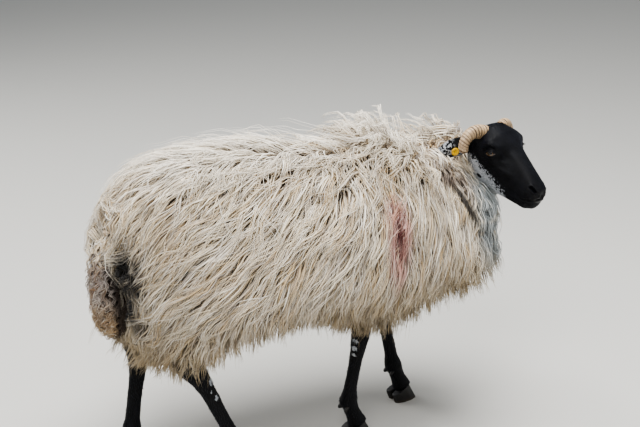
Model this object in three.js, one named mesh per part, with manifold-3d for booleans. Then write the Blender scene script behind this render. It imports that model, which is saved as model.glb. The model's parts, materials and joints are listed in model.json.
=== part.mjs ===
// A life-size Scottish Blackface ewe in full fleece, walking, with its head turned to its right.
// Millimetres. +X is forward, +Y is the animal's left, +Z is up, and the hooves stand on z = 0.
// The origin is the middle of the model's box, at floor level.
import * as THREE from "three";
import { mergeVertices } from "three/addons/utils/BufferGeometryUtils.js";
import Module from "manifold-3d";

const wasm = await Module();
wasm.setup();

// ---- driving dimensions ----
const GAP = 0.35; // air between neighbouring pieces
const EYE_RADIUS = 12.5;
const HORN = { base: 16.5, tip: 11.5, bend: 38, rise: 24, turn: 118, back: 12, ridges: 11, ridge: 0.8 };
const EAR = { length: 88, width: 44, thick: 5, cup: 8 };
const TAG = { radius: 8.5, thick: 2.4, pin: 2.2, along: 0.5, proud: 3 }; // proud: off the ear's face
const CLAW = { length: 58, width: 23, height: 46, split: 4, heel: 8, rake: 0.21, taper: 0.45 };
const CORONET = { slope: 0.42, ahead: 20, up: 34 }; // the line where hair meets the claw's horn
const LOCK = { depth: 7, around: 13, along: 9 }; // waves that the locks make in the fleece

const MATERIALS = {
  fleece: new THREE.MeshStandardMaterial({ color: 0xc9bfb0, roughness: 0.95 }),
  tailWool: new THREE.MeshStandardMaterial({ color: 0x9c8468, roughness: 0.95 }),
  blackHair: new THREE.MeshStandardMaterial({ color: 0x14141a, roughness: 0.6 }),
  horn: new THREE.MeshStandardMaterial({ color: 0xb99c78, roughness: 0.55 }),
  hoof: new THREE.MeshStandardMaterial({ color: 0x1d1a18, roughness: 0.5 }),
  eye: new THREE.MeshStandardMaterial({ color: 0x5a4022, roughness: 0.1 }),
  tag: new THREE.MeshStandardMaterial({ color: 0xe0b012, roughness: 0.4 }),
};

// ---- tables ----
// Fleece of the trunk, out to the lock tips: back, lowest hanging tips, half width and its height.
const TRUNK = [
  { at: -490, top: 688, floor: 250, half: 196, widest: 430 },
  { at: -400, top: 676, floor: 248, half: 214, widest: 430 },
  { at: -345, top: 682, floor: 258, half: 226, widest: 430 },
  { at: -270, top: 690, floor: 300, half: 234, widest: 435 },
  { at: -165, top: 690, floor: 316, half: 240, widest: 445 },
  { at: -80, top: 680, floor: 316, half: 240, widest: 450 },
  { at: 0, top: 662, floor: 266, half: 236, widest: 452 },
  { at: 70, top: 651, floor: 252, half: 228, widest: 452 },
  { at: 140, top: 662, floor: 262, half: 218, widest: 452 },
  { at: 190, top: 670, floor: 286, half: 208, widest: 455 },
  { at: 250, top: 622, floor: 290, half: 190, widest: 455 },
  { at: 320, top: 570, floor: 278, half: 172, widest: 445 },
  { at: 400, top: 560, floor: 278, half: 160, widest: 435 },
];
const TRUNK_END = { rear: -486, rearRound: 160, front: 403, frontRound: 140, middle: 450 };
// Hollows in the fleece on either side of the tail.
const BREECH = { x: -490, y: 58, z: 400, long: 58, wide: 34, high: 82 };

// Neck with its wool: the centre line turns right as it rises; rise is half its depth.
const NECK = [
  { at: 0, x: 190, y: 0, z: 480, rise: 165, half: 158 },
  { at: 0.4, x: 262, y: 6, z: 508, rise: 130, half: 128 },
  { at: 0.7, x: 320, y: 2, z: 545, rise: 114, half: 92 },
  { at: 0.88, x: 347, y: -20, z: 582, rise: 76, half: 62 },
  { at: 1, x: 352, y: -48, z: 598, rise: 56, half: 48 },
];

// Head, in its own frame: +X to the muzzle, +Z to the crown, from the poll at 0.
const HEAD = [
  { at: 0, top: 33, brow: 30, cheek: 31, jaw: 23, floor: -30, browAt: 18, jawAt: -19 },
  { at: 15, top: 53, brow: 38, cheek: 42, jaw: 30, floor: -52, browAt: 33, jawAt: -36 },
  { at: 33, top: 63, brow: 44, cheek: 46, jaw: 32, floor: -66, browAt: 37, jawAt: -46 },
  { at: 57, top: 63, brow: 57, cheek: 46, jaw: 31, floor: -71, browAt: 37, jawAt: -51 },
  { at: 75, top: 57, brow: 50, cheek: 43, jaw: 28, floor: -71, browAt: 31, jawAt: -51 },
  { at: 97, top: 47, brow: 30, cheek: 37, jaw: 25, floor: -71, browAt: 25, jawAt: -50 },
  { at: 121, top: 36, brow: 25, cheek: 31, jaw: 22, floor: -68, browAt: 18, jawAt: -47 },
  { at: 147, top: 24, brow: 23, cheek: 27, jaw: 21, floor: -64, browAt: 9, jawAt: -45 },
  { at: 166, top: 14, brow: 23, cheek: 27, jaw: 21, floor: -60, browAt: 2, jawAt: -42 },
  { at: 182, top: 5, brow: 20, cheek: 24, jaw: 18, floor: -53, browAt: -5, jawAt: -40 },
  { at: 191, top: -6, brow: 12, cheek: 15, jaw: 10, floor: -39, browAt: -11, jawAt: -31 },
];
const HEAD_PLACE = { x: 352, y: -52, z: 614, turn: -73, pitch: 23, roll: -4 };
const EYE_PLACE = { x: 69, y: 44, z: 22 };
const HORN_PLACE = { x: 27, y: 26, z: 39 };
const EAR_PLACE = { x: 14, y: 34, z: 8 };
const EAR_LIE = { back: -0.4, out: 0.85, drop: -0.42, lean: -0.2 };

// Legs, from inside the fleece to the coronet: centre line and half sizes fore-and-aft and across.
const FORE = [
  { up: 330, back: 6, deep: 34, wide: 27 },
  { up: 262, back: 2, deep: 22, wide: 21 },
  { up: 232, back: 0, deep: 20, wide: 20 },
  { up: 205, back: 1, deep: 17, wide: 16.5 },
  { up: 160, back: 2, deep: 15, wide: 13.5 },
  { up: 118, back: 3, deep: 15.5, wide: 14 },
  { up: 88, back: 3, deep: 21, wide: 18 },
  { up: 66, back: -5, deep: 18, wide: 17.5 },
  { up: 42, back: -16, deep: 22, wide: 21 },
  { up: 18, back: -24, deep: 26, wide: 22 },
];
const HIND = [
  { up: 360, back: -34, deep: 44, wide: 30 },
  { up: 310, back: -2, deep: 33, wide: 24 },
  { up: 278, back: 8, deep: 31, wide: 20 },
  { up: 245, back: 3, deep: 23, wide: 18 },
  { up: 205, back: 1, deep: 18, wide: 15 },
  { up: 150, back: 2, deep: 16.5, wide: 14 },
  { up: 118, back: 2, deep: 17, wide: 14.5 },
  { up: 90, back: 2, deep: 22, wide: 18.5 },
  { up: 66, back: -6, deep: 18.5, wide: 17.5 },
  { up: 42, back: -17, deep: 22, wide: 21 },
  { up: 18, back: -25, deep: 26, wide: 22 },
];
// Where each leg stands, and how far its top leads (+) or trails (-) its fetlock.
const LEGS = {
  front_right: { table: FORE, x: 34, y: -44, lead: 36, splay: -24 },
  front_left: { table: FORE, x: 210, y: 60, lead: -42, splay: 18 },
  hind_right: { table: HIND, x: -252, y: -92, lead: -126, splay: -10 },
  hind_left: { table: HIND, x: -417, y: 68, lead: 56, splay: 22 },
};
const FETLOCK = 88; // height of the joint that a leg's lean starts from

const TAIL = [
  { at: 0, x: -446, z: 545, deep: 26, wide: 34 },
  { at: 0.22, x: -468, z: 505, deep: 33, wide: 42 },
  { at: 0.5, x: -473, z: 440, deep: 34, wide: 45 },
  { at: 0.78, x: -470, z: 380, deep: 35, wide: 45 },
  { at: 1, x: -468, z: 328, deep: 24, wide: 32 },
];

// ---- helpers ----
const degrees = THREE.MathUtils.degToRad;

/** One column of a table at a place, by a monotone cubic through its rows. */
function read(table, column, at) {
  const n = table.length;
  const xs = table.map((row) => row.at);
  const ys = table.map((row) => row[column]);
  const slope = (i) => (ys[i + 1] - ys[i]) / (xs[i + 1] - xs[i]);
  const tangent = (i) => {
    if (i === 0) return slope(0);
    if (i === n - 1) return slope(n - 2);
    const before = slope(i - 1);
    const after = slope(i);
    return before * after <= 0 ? 0 : (2 * before * after) / (before + after);
  };
  let i = 0;
  while (i < n - 2 && at > xs[i + 1]) i++;
  const span = xs[i + 1] - xs[i];
  const t = THREE.MathUtils.clamp((at - xs[i]) / span, 0, 1);
  const [t2, t3] = [t * t, t * t * t];
  return (
    (2 * t3 - 3 * t2 + 1) * ys[i] +
    (t3 - 2 * t2 + t) * span * tangent(i) +
    (3 * t2 - 2 * t3) * ys[i + 1] +
    (t3 - t2) * span * tangent(i + 1)
  );
}

/** A closed skin over rings of points, each end drawn in to the middle of its ring. */
function loft(rings) {
  const sides = rings[0].length;
  const points = rings.flat();
  const middle = (ring) => ring.reduce((sum, p) => sum.add(p), new THREE.Vector3()).divideScalar(sides);
  points.push(middle(rings[0]), middle(rings[rings.length - 1]));
  const [first, last] = [points.length - 2, points.length - 1];
  const index = [];
  for (let j = 0; j < sides; j++) {
    const k = (j + 1) % sides;
    index.push(first, k, j);
    for (let i = 0; i < rings.length - 1; i++) {
      const [a, b] = [i * sides, (i + 1) * sides];
      index.push(a + j, a + k, b + j, a + k, b + k, b + j);
    }
    index.push(last, (rings.length - 1) * sides + j, (rings.length - 1) * sides + k);
  }
  const geometry = new THREE.BufferGeometry().setFromPoints(points);
  geometry.setIndex(index);
  return geometry;
}

/** The signed volume of an indexed geometry, negative where its faces point inwards. */
function signedVolume(geometry) {
  const at = geometry.getAttribute("position");
  const [a, b, c] = [new THREE.Vector3(), new THREE.Vector3(), new THREE.Vector3()];
  let sum = 0;
  for (let i = 0; i < geometry.index.count; i += 3) {
    a.fromBufferAttribute(at, geometry.index.getX(i));
    b.fromBufferAttribute(at, geometry.index.getX(i + 1));
    c.fromBufferAttribute(at, geometry.index.getX(i + 2));
    sum += a.dot(b.cross(c)) / 6;
  }
  return sum;
}

/** A geometry as a manifold-3d solid, with its faces turned outwards. */
function solid(geometry) {
  const plain = new THREE.BufferGeometry().setAttribute("position", geometry.getAttribute("position"));
  plain.setIndex(geometry.index);
  const merged = mergeVertices(plain, 1e-3);
  const triVerts = new Uint32Array(merged.index.array);
  if (signedVolume(merged) < 0) {
    for (let i = 0; i < triVerts.length; i += 3) {
      [triVerts[i + 1], triVerts[i + 2]] = [triVerts[i + 2], triVerts[i + 1]];
    }
  }
  return new wasm.Manifold(
    new wasm.Mesh({ numProp: 3, vertProperties: merged.getAttribute("position").array, triVerts }),
  );
}

/** A solid as a named mesh. */
function mesh(name, made, material) {
  const { vertProperties, triVerts, numProp } = made.getMesh();
  const places = new Float32Array((vertProperties.length / numProp) * 3);
  for (let i = 0; i * numProp < vertProperties.length; i++) {
    places.set(vertProperties.subarray(i * numProp, i * numProp + 3), i * 3);
  }
  const geometry = new THREE.BufferGeometry();
  geometry.setAttribute("position", new THREE.BufferAttribute(places, 3));
  geometry.setIndex(new THREE.BufferAttribute(new Uint32Array(triVerts), 1));
  geometry.computeVertexNormals();
  const piece = new THREE.Mesh(geometry, material);
  piece.name = name;
  return piece;
}

/** The largest body of a solid: a cut can leave crumbs. */
function largest(made) {
  return made.decompose().reduce((best, one) => (one.volume() > best.volume() ? one : best));
}

/** cos and sin of an angle, squared off by an exponent above 2. */
function superellipse(angle, exponent) {
  const bend = (v) => Math.sign(v) * Math.abs(v) ** (2 / exponent);
  return [bend(Math.cos(angle)), bend(Math.sin(angle))];
}

/** 1 in the middle of a length, falling to 0 along a quarter ellipse at its end. */
function rounded(distance, radius, exponent = 2) {
  const t = THREE.MathUtils.clamp(1 - distance / radius, 0, 1);
  return (1 - t ** exponent) ** (1 / exponent);
}

// ---- trunk ----
function trunkGeometry(grow = 0) {
  const [rows, sides] = [28, 32];
  const { rear, rearRound, front, frontRound, middle } = TRUNK_END;
  const rings = [];
  for (let i = 1; i < rows; i++) {
    const x = rear + ((front - rear) * (1 - Math.cos((Math.PI * i) / rows))) / 2;
    const close = rounded(x - rear, rearRound, 2.1) * rounded(front - x, frontRound, 2.3);
    const half = read(TRUNK, "half", x) * close;
    const widest = read(TRUNK, "widest", x);
    const up = (read(TRUNK, "top", x) - middle) * close + middle - widest;
    const down = (read(TRUNK, "floor", x) - middle) * close + middle - widest;
    rings.push(
      Array.from({ length: sides }, (_, j) => {
        const angle = (2 * Math.PI * j) / sides;
        const [c, s] = superellipse(angle, Math.sin(angle) > 0 ? 2.1 : 2.5);
        const across = Math.sin(LOCK.around * angle + x / 47);
        const wave = across * Math.sin((LOCK.along * Math.PI * i) / rows + 3 * angle);
        const swell = 1 + (LOCK.depth * wave * close + grow) / Math.max(60, half);
        return new THREE.Vector3(
          x + grow * (x > 0 ? 1 : -1) * (1 - close),
          c * half * swell,
          widest + (s > 0 ? up : -down) * s * swell,
        );
      }),
    );
  }
  return loft(rings);
}

// ---- neck ----
function neckGeometry() {
  const [rows, sides] = [10, 24];
  const place = (t) => new THREE.Vector3(read(NECK, "x", t), read(NECK, "y", t), read(NECK, "z", t));
  const rings = [];
  for (let i = 0; i <= rows; i++) {
    const t = i / rows;
    const centre = place(t);
    const along = place(Math.min(1, t + 0.02)).sub(place(Math.max(0, t - 0.02))).normalize();
    const across = new THREE.Vector3(0, 0, 1).cross(along).normalize();
    const up = along.clone().cross(across);
    const [rise, half] = [read(NECK, "rise", t), read(NECK, "half", t)];
    rings.push(
      Array.from({ length: sides }, (_, j) => {
        const angle = (2 * Math.PI * j) / sides;
        const [c, s] = superellipse(angle, 2.1);
        const wave = 1 + (LOCK.depth * 0.6 * Math.sin(7 * angle + 9 * t)) / half;
        return centre
          .clone()
          .addScaledVector(across, c * half * wave)
          .addScaledVector(up, s * rise * wave);
      }),
    );
  }
  return loft(rings);
}

// ---- head ----
const headFrame = new THREE.Matrix4().compose(
  new THREE.Vector3(HEAD_PLACE.x, HEAD_PLACE.y, HEAD_PLACE.z),
  new THREE.Quaternion().setFromEuler(
    new THREE.Euler(degrees(HEAD_PLACE.roll), degrees(HEAD_PLACE.pitch), degrees(HEAD_PLACE.turn), "ZYX"),
  ),
  new THREE.Vector3(1, 1, 1),
);

/** One side's outline of the head at a station, from crown to throat, in [y, z]. */
function headOutline(x, grow) {
  const v = (column) => read(HEAD, column, x);
  const [top, brow, cheek, jaw, floor] = ["top", "brow", "cheek", "jaw", "floor"].map(v);
  const [browAt, jawAt] = [v("browAt"), v("jawAt")];
  return [
    [0, top + grow],
    [brow * 0.56, top - (top - browAt) * 0.16 + grow],
    [brow + grow, browAt],
    [cheek + grow, (browAt + jawAt) * 0.5],
    [jaw + grow, jawAt],
    [jaw * 0.52, floor + (jawAt - floor) * 0.18 - grow],
    [0, floor - grow],
  ];
}

function headGeometry(grow = 0) {
  const [rows, perSpan] = [20, 2];
  const length = HEAD[HEAD.length - 1].at;
  const rings = [];
  for (let i = 0; i <= rows; i++) {
    const x = (length * (1 - Math.cos((Math.PI * i) / rows))) / 2;
    const half = headOutline(x, grow);
    const mirrored = half.slice(1, -1).reverse().map(([y, z]) => [-y, z]);
    const whole = [...half, ...mirrored].map(([y, z]) => new THREE.Vector3(0, y, z));
    const curve = new THREE.CatmullRomCurve3(whole, true, "centripetal");
    const places = curve.getPoints(whole.length * perSpan).slice(0, -1);
    const push = i === 0 ? -grow : i === rows ? grow : 0;
    rings.push(places.map((p) => p.setX(x + push).applyMatrix4(headFrame)));
  }
  return loft(rings);
}

function eyeGeometry(side, grow = 0) {
  const ball = new THREE.SphereGeometry(EYE_RADIUS + grow, 12, 8);
  ball.translate(EYE_PLACE.x, side * EYE_PLACE.y, EYE_PLACE.z);
  return ball.applyMatrix4(headFrame);
}

// ---- horns ----
/** The horn's centre line: out of the crown, then over and down in a slack quarter turn. */
function hornPoint(side, t) {
  const angle = degrees(HORN.rise - HORN.turn * t);
  const start = degrees(HORN.rise);
  return new THREE.Vector3(
    HORN_PLACE.x - HORN.back * Math.sin(Math.PI * Math.min(1, Math.max(0, t))),
    side * (HORN_PLACE.y + HORN.bend * (Math.sin(start) - Math.sin(angle))),
    HORN_PLACE.z + HORN.bend * (Math.cos(angle) - Math.cos(start)),
  );
}

function hornGeometry(side, grow = 0) {
  const [rows, sides] = [22, 8];
  const rings = [];
  for (let i = 0; i <= rows; i++) {
    const t = i / rows;
    const centre = hornPoint(side, t);
    const along = hornPoint(side, t + 0.01).sub(hornPoint(side, t - 0.01)).normalize();
    const across = new THREE.Vector3(1, 0, 0).cross(along).normalize();
    const up = along.clone().cross(across);
    const end = Math.max(0.35, rounded((1 - t) * 80, 9));
    const ridge = HORN.ridge * Math.sin(2 * Math.PI * HORN.ridges * t);
    const radius = THREE.MathUtils.lerp(HORN.base, HORN.tip, t) * end + ridge + grow;
    rings.push(
      Array.from({ length: sides }, (_, j) => {
        const angle = (2 * Math.PI * j) / sides;
        return centre
          .clone()
          .addScaledVector(across, Math.cos(angle) * radius)
          .addScaledVector(up, Math.sin(angle) * radius * 0.86)
          .applyMatrix4(headFrame);
      }),
    );
  }
  return loft(rings);
}

// ---- ears and tag ----
/** The ear's own axes in the head's frame: along its length, across it, and out of its back. */
function earAxes(side) {
  const along = new THREE.Vector3(EAR_LIE.back, side * EAR_LIE.out, EAR_LIE.drop).normalize();
  const across = new THREE.Vector3(EAR_LIE.lean, 0, 1).cross(along).cross(along).normalize().negate();
  const out = along.clone().cross(across).multiplyScalar(side);
  return { along, across, out };
}

function earPoint(side, t, u, lift) {
  const { along, across, out } = earAxes(side);
  const cup = EAR.cup * (u * u - 0.4) * Math.sin(Math.PI * Math.min(1, t * 0.9 + 0.1));
  const width = (EAR.width / 2) * Math.sin(Math.PI * (0.16 + 0.84 * t)) ** 0.75;
  return new THREE.Vector3(EAR_PLACE.x, side * EAR_PLACE.y, EAR_PLACE.z)
    .addScaledVector(along, EAR.length * t)
    .addScaledVector(across, width * u)
    .addScaledVector(out, lift - cup);
}

function earGeometry(side, grow = 0) {
  const [rows, sides] = [7, 10];
  const rings = [];
  for (let i = 0; i <= rows; i++) {
    const t = (i / rows) * 0.97;
    rings.push(
      Array.from({ length: sides }, (_, j) => {
        const angle = (2 * Math.PI * j) / sides;
        const [c, s] = superellipse(angle, 2);
        const thick = EAR.thick / 2 + 3 * (1 - t) ** 3;
        return earPoint(side, t, c * (1 + grow / 12), s * (thick + grow)).applyMatrix4(headFrame);
      }),
    );
  }
  return loft(rings);
}

/** A round part of the tag, on the ear's back or its cup, or the pin that joins them. */
function tagDisc(side, radius, from, to) {
  const disc = new THREE.CylinderGeometry(radius, radius, to - from, 14);
  const { along, across, out } = earAxes(side);
  const turn = new THREE.Matrix4().makeBasis(along, out, across);
  const centre = earPoint(side, TAG.along, -0.1, (from + to) / 2);
  return disc.applyMatrix4(turn.setPosition(centre)).applyMatrix4(headFrame);
}

// ---- legs and hooves ----
/** A leg's centre at a height: it leans from the fetlock up, and its joints set it back or on. */
function legCentre(leg, row) {
  const rise = Math.max(0, row.up - FETLOCK) / (leg.table[0].up - FETLOCK);
  return new THREE.Vector3(leg.x + leg.lead * rise - row.back, leg.y + leg.splay * rise, row.up);
}

function legGeometry(leg) {
  const [rows, sides] = [15, 10];
  const table = [...leg.table].reverse().map((row) => ({ ...row, at: row.up }));
  const [low, high] = [table[0].at, table[table.length - 1].at];
  const rings = [];
  for (let i = 0; i <= rows; i++) {
    const up = low + ((high - low) * i) / rows;
    const row = { up, back: read(table, "back", up) };
    const centre = legCentre(leg, row);
    const [deep, wide] = [read(table, "deep", up), read(table, "wide", up)];
    rings.push(
      Array.from({ length: sides }, (_, j) => {
        const [c, s] = superellipse((2 * Math.PI * j) / sides, 2.2);
        return new THREE.Vector3(centre.x + c * deep, centre.y + s * wide, up);
      }),
    );
  }
  return loft(rings);
}

/** The coronet's plane, above which is hair and below which is horn. */
function coronet(leg) {
  const normal = new THREE.Vector3(-CORONET.slope, 0, 1).normalize();
  const point = new THREE.Vector3(leg.x + CORONET.ahead, leg.y, CORONET.up);
  return { normal: normal.toArray(), offset: normal.dot(point) };
}

function clawGeometry(leg, side) {
  const [rows, sides] = [3, 10];
  const rings = [];
  for (let i = 0; i <= rows; i++) {
    const t = i / rows;
    const z = CLAW.height * t;
    const length = CLAW.length * (1 - 0.12 * t);
    const width = CLAW.width * (1 - 0.1 * t) * (i === 0 ? 0.96 : 1);
    const heel = leg.x - CLAW.heel - 6 * t;
    rings.push(
      Array.from({ length: sides }, (_, j) => {
        const angle = (2 * Math.PI * j) / sides;
        const [c, s] = superellipse(angle, 2.4);
        const toe = (c + 1) / 2;
        const taper = 1 - CLAW.taper * toe ** 3;
        const inner = leg.y + side * (CLAW.split / 2);
        return new THREE.Vector3(
          heel + toe * length - CLAW.rake * z,
          inner + side * (width / 2) * (1 + s * side * taper - (1 - taper) * 0.6),
          z,
        );
      }),
    );
  }
  return loft(rings);
}

// ---- tail ----
function tailGeometry(grow = 0) {
  const [rows, sides] = [10, 12];
  const rings = [];
  for (let i = 0; i <= rows; i++) {
    const t = i / rows;
    const [x, z] = [read(TAIL, "x", t), read(TAIL, "z", t)];
    const [deep, wide] = [read(TAIL, "deep", t), read(TAIL, "wide", t)];
    const close = Math.max(0.3, rounded(1 - t, 0.18));
    rings.push(
      Array.from({ length: sides }, (_, j) => {
        const angle = (2 * Math.PI * j) / sides;
        const curl = 1 + 0.1 * Math.sin(3 * angle + 16 * t) * Math.sin(14 * t);
        const tilt = THREE.MathUtils.lerp(0.9, 0.05, Math.min(1, t * 2));
        const c = Math.cos(angle) * (deep * close * curl + grow);
        const s = Math.sin(angle) * (wide * close * curl + grow);
        return new THREE.Vector3(x - c * Math.cos(tilt), s + 6 * Math.sin(5 * t), z + c * Math.sin(tilt));
      }),
    );
  }
  return loft(rings);
}

/** The hollow in the fleece beside the tail. */
function breechGeometry(side) {
  const hollow = new THREE.SphereGeometry(1, 12, 8);
  hollow.scale(BREECH.long, BREECH.wide, BREECH.high);
  return hollow.translate(BREECH.x, side * BREECH.y, BREECH.z);
}

// ---- assembly ----
const SIDES = { right: -1, left: 1 };
const sheep = new THREE.Group();
const add = (name, made, material) => sheep.add(mesh(name, largest(made), material));

const trunk = solid(trunkGeometry())
  .subtract(solid(tailGeometry(GAP)))
  .subtract(solid(breechGeometry(SIDES.right)))
  .subtract(solid(breechGeometry(SIDES.left)));
const trunkRoom = solid(trunkGeometry(GAP * 2));
add("trunk", trunk, MATERIALS.fleece);
add("tail", solid(tailGeometry()), MATERIALS.tailWool);

const headRoom = solid(headGeometry(GAP * 2));
let head = solid(headGeometry()).subtract(trunkRoom);
let besideNeck = headRoom.add(trunkRoom);
for (const [name, side] of Object.entries(SIDES)) {
  add(`eye_${name}`, solid(eyeGeometry(side)), MATERIALS.eye);
  head = head.subtract(solid(eyeGeometry(side, GAP)));

  const hornRoom = solid(hornGeometry(side, GAP * 2));
  add(`horn_${name}`, solid(hornGeometry(side)).subtract(headRoom).subtract(trunkRoom), MATERIALS.horn);
  besideNeck = besideNeck.add(hornRoom).add(solid(earGeometry(side, 2)));

  let ear = solid(earGeometry(side)).subtract(headRoom).subtract(hornRoom).subtract(trunkRoom);
  if (name === "right") {
    const lift = EAR.thick / 2 + TAG.proud;
    const disc = (radius, from, to) => solid(tagDisc(side, radius, from, to));
    ear = ear.subtract(disc(TAG.pin + GAP, -2 * lift, 2 * lift));
    const tag = disc(TAG.radius, lift, lift + TAG.thick)
      .add(disc(TAG.pin, -lift, lift + 1))
      .add(disc(TAG.radius, -lift - TAG.thick, -lift));
    add("ear_tag", tag.subtract(hornRoom).subtract(trunkRoom), MATERIALS.tag);
    const reach = lift + TAG.thick + 1;
    besideNeck = besideNeck.add(disc(TAG.radius + 1, -reach, reach));
  }
  add(`ear_${name}`, ear, MATERIALS.blackHair);
}
add("head", head, MATERIALS.blackHair);
add("neck", solid(neckGeometry()).subtract(besideNeck), MATERIALS.fleece);

for (const [name, leg] of Object.entries(LEGS)) {
  const { normal, offset } = coronet(leg);
  const whole = solid(legGeometry(leg)).trimByPlane(normal, offset + GAP);
  add(`leg_${name}`, whole.subtract(trunkRoom), MATERIALS.blackHair);
  const down = normal.map((v) => -v);
  for (const [claw, side] of Object.entries({ outer: Math.sign(leg.y), inner: -Math.sign(leg.y) })) {
    add(`hoof_${name}_${claw}`, solid(clawGeometry(leg, side)).trimByPlane(down, -offset), MATERIALS.hoof);
  }
}

// The origin is the middle of the box, at the floor.
const box = new THREE.Box3().setFromObject(sheep, true);
const middle = box.getCenter(new THREE.Vector3());
sheep.position.set(-middle.x, -middle.y, -box.min.z);
sheep.updateMatrixWorld(true);

export default sheep;
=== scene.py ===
# %% [markdown]
# # A horned hill ewe in full fleece
# A life-size still model of a black-faced mountain ewe. The solid frame gives every outline and size.
# This lesson puts a skin inside the frame, grows wool and hair on it, and finishes horns, eyes, hooves
# and tag.
# Lengths in tables are millimetres, as a maker measures them, and MM turns them to metres.

import functools
import json
import math

import bmesh
import bpy
import numpy as np
from mathutils import Matrix, Vector, noise
from mathutils.bvhtree import BVHTree

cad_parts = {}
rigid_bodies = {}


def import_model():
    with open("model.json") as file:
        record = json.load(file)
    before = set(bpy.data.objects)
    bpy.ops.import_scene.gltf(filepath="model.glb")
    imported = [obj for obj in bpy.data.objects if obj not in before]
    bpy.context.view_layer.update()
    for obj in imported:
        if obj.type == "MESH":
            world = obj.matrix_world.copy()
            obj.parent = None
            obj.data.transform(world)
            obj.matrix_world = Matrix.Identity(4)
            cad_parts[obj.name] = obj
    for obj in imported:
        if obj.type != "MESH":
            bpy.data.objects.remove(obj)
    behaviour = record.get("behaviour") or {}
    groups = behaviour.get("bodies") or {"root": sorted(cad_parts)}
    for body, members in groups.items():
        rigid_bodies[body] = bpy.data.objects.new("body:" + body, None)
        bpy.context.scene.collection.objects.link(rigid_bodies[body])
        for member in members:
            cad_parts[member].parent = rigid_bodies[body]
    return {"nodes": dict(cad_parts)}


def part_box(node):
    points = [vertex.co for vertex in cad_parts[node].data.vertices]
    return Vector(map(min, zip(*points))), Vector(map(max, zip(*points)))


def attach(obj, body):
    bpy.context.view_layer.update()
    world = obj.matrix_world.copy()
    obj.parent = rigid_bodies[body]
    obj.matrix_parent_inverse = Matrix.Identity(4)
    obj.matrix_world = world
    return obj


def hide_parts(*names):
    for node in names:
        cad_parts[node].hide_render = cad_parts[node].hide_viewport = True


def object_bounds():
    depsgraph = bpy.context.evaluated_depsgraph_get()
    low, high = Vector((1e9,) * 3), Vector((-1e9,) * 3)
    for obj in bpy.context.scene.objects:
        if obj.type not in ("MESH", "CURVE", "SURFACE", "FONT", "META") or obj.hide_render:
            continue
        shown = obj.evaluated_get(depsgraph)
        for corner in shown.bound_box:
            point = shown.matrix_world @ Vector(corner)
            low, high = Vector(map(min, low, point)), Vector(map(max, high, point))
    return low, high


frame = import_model()
cad_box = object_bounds()
MM = 0.001
SHIFT = np.array((31.465, 0.309, 0.0)) * MM  # from the middle of the body to the middle of the box
LOOSE = 1.0
print("frame:", len(frame["nodes"]), "nodes, box", [round(v, 3) for corner in cad_box for v in corner])

# %% [markdown]
# ## Camera, floor and light
# The camera stands 2.8 m from the shoulder on the animal's right, a little behind it, at a standing
# person's chest height, and looks down by about 19 degrees. A long lens keeps the legs and back in
# proportion. The light is a bright overcast sky, as wool shows its locks best in broad soft light with
# one clear direction: a large key from above the camera's left, and a weak fill.

# %% Camera
SENSOR = 36.0
IMAGE_WIDTH = 640
FOCAL_PIXELS = 1437
CAMERA = {"azimuth": 28.05, "distance": 2.8, "height": 1.45, "pitch": 18.7, "roll": -1.7}


def add_object(name, data):
    made = bpy.data.objects.new(name, data)
    bpy.context.scene.collection.objects.link(made)
    return made


def make_camera(azimuth, distance, height, pitch, roll):
    a, p, r = (math.radians(v) for v in (azimuth, pitch, roll))
    place = Vector((-math.sin(a) * distance, -math.cos(a) * distance, height)) + Vector(SHIFT)
    ahead = Vector((math.sin(a) * math.cos(p), math.cos(a) * math.cos(p), -math.sin(p)))
    level = ahead.cross(Vector((0, 0, 1))).normalized()
    upright = level.cross(ahead)
    right = level * math.cos(r) + upright * math.sin(r)
    up = upright * math.cos(r) - level * math.sin(r)
    data = bpy.data.cameras.new("camera")
    data.sensor_width = SENSOR
    data.lens = SENSOR * FOCAL_PIXELS / IMAGE_WIDTH
    camera = add_object("camera", data)
    camera.matrix_world = Matrix.Translation(place) @ Matrix((right, up, -ahead)).transposed().to_4x4()
    return camera


bpy.context.scene.camera = make_camera(**CAMERA)
print("camera at", [round(v, 2) for v in bpy.context.scene.camera.location])


# %% Nodes and colours
def linear(code):
    """An sRGB hex code as linear red, green, blue and alpha."""
    parts = [int(code[i : i + 2], 16) / 255 for i in (1, 3, 5)]
    return tuple(v / 12.92 if v <= 0.04045 else ((v + 0.055) / 1.055) ** 2.4 for v in parts) + (1.0,)


def add_node(tree, kind, inputs=None, **settings):
    """A node of a kind with its settings, and its inputs set to values or linked from sockets."""
    made = tree.nodes.new(kind)
    for name, value in settings.items():
        setattr(made, name, value)
    for name, value in (inputs or {}).items():
        if isinstance(value, bpy.types.NodeSocket):
            tree.links.new(value, made.inputs[name])
        else:
            made.inputs[name].default_value = value
    return made


def new_material(name, **finish):
    """A material, its tree and its principled shader, with constant values set on the shader itself."""
    material = bpy.data.materials.new(name)
    material.use_nodes = True
    tree = material.node_tree
    shader = tree.nodes["Principled BSDF"]
    for socket, value in finish.items():
        shader.inputs[socket.replace("_", " ")].default_value = value
    return material, tree, shader


# %% Floor and lights
FLOOR_COLOUR = "#CCCAC4"
FLOOR_REACH = 14.0  # far enough that its edge stays out of sight
LIGHTS = {
    "key": {"place": (-2.0, -2.6, 3.8), "aim": (0.0, 0.0, 0.4), "size": 2.2, "power": 122},
    "top": {"place": (0.2, -0.2, 3.6), "aim": (0.0, 0.0, 0.4), "size": 2.4, "power": 175},
    "fill": {"place": (2.8, -2.2, 1.6), "aim": (0.1, 0.0, 0.4), "size": 2.2, "power": 14},
    "back": {"place": (-1.6, 3.0, 2.2), "aim": (0.0, 0.0, 0.4), "size": 2.4, "power": 55},
}
SKY = {"colour": "#DDE3EA", "strength": 0.35}


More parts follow.
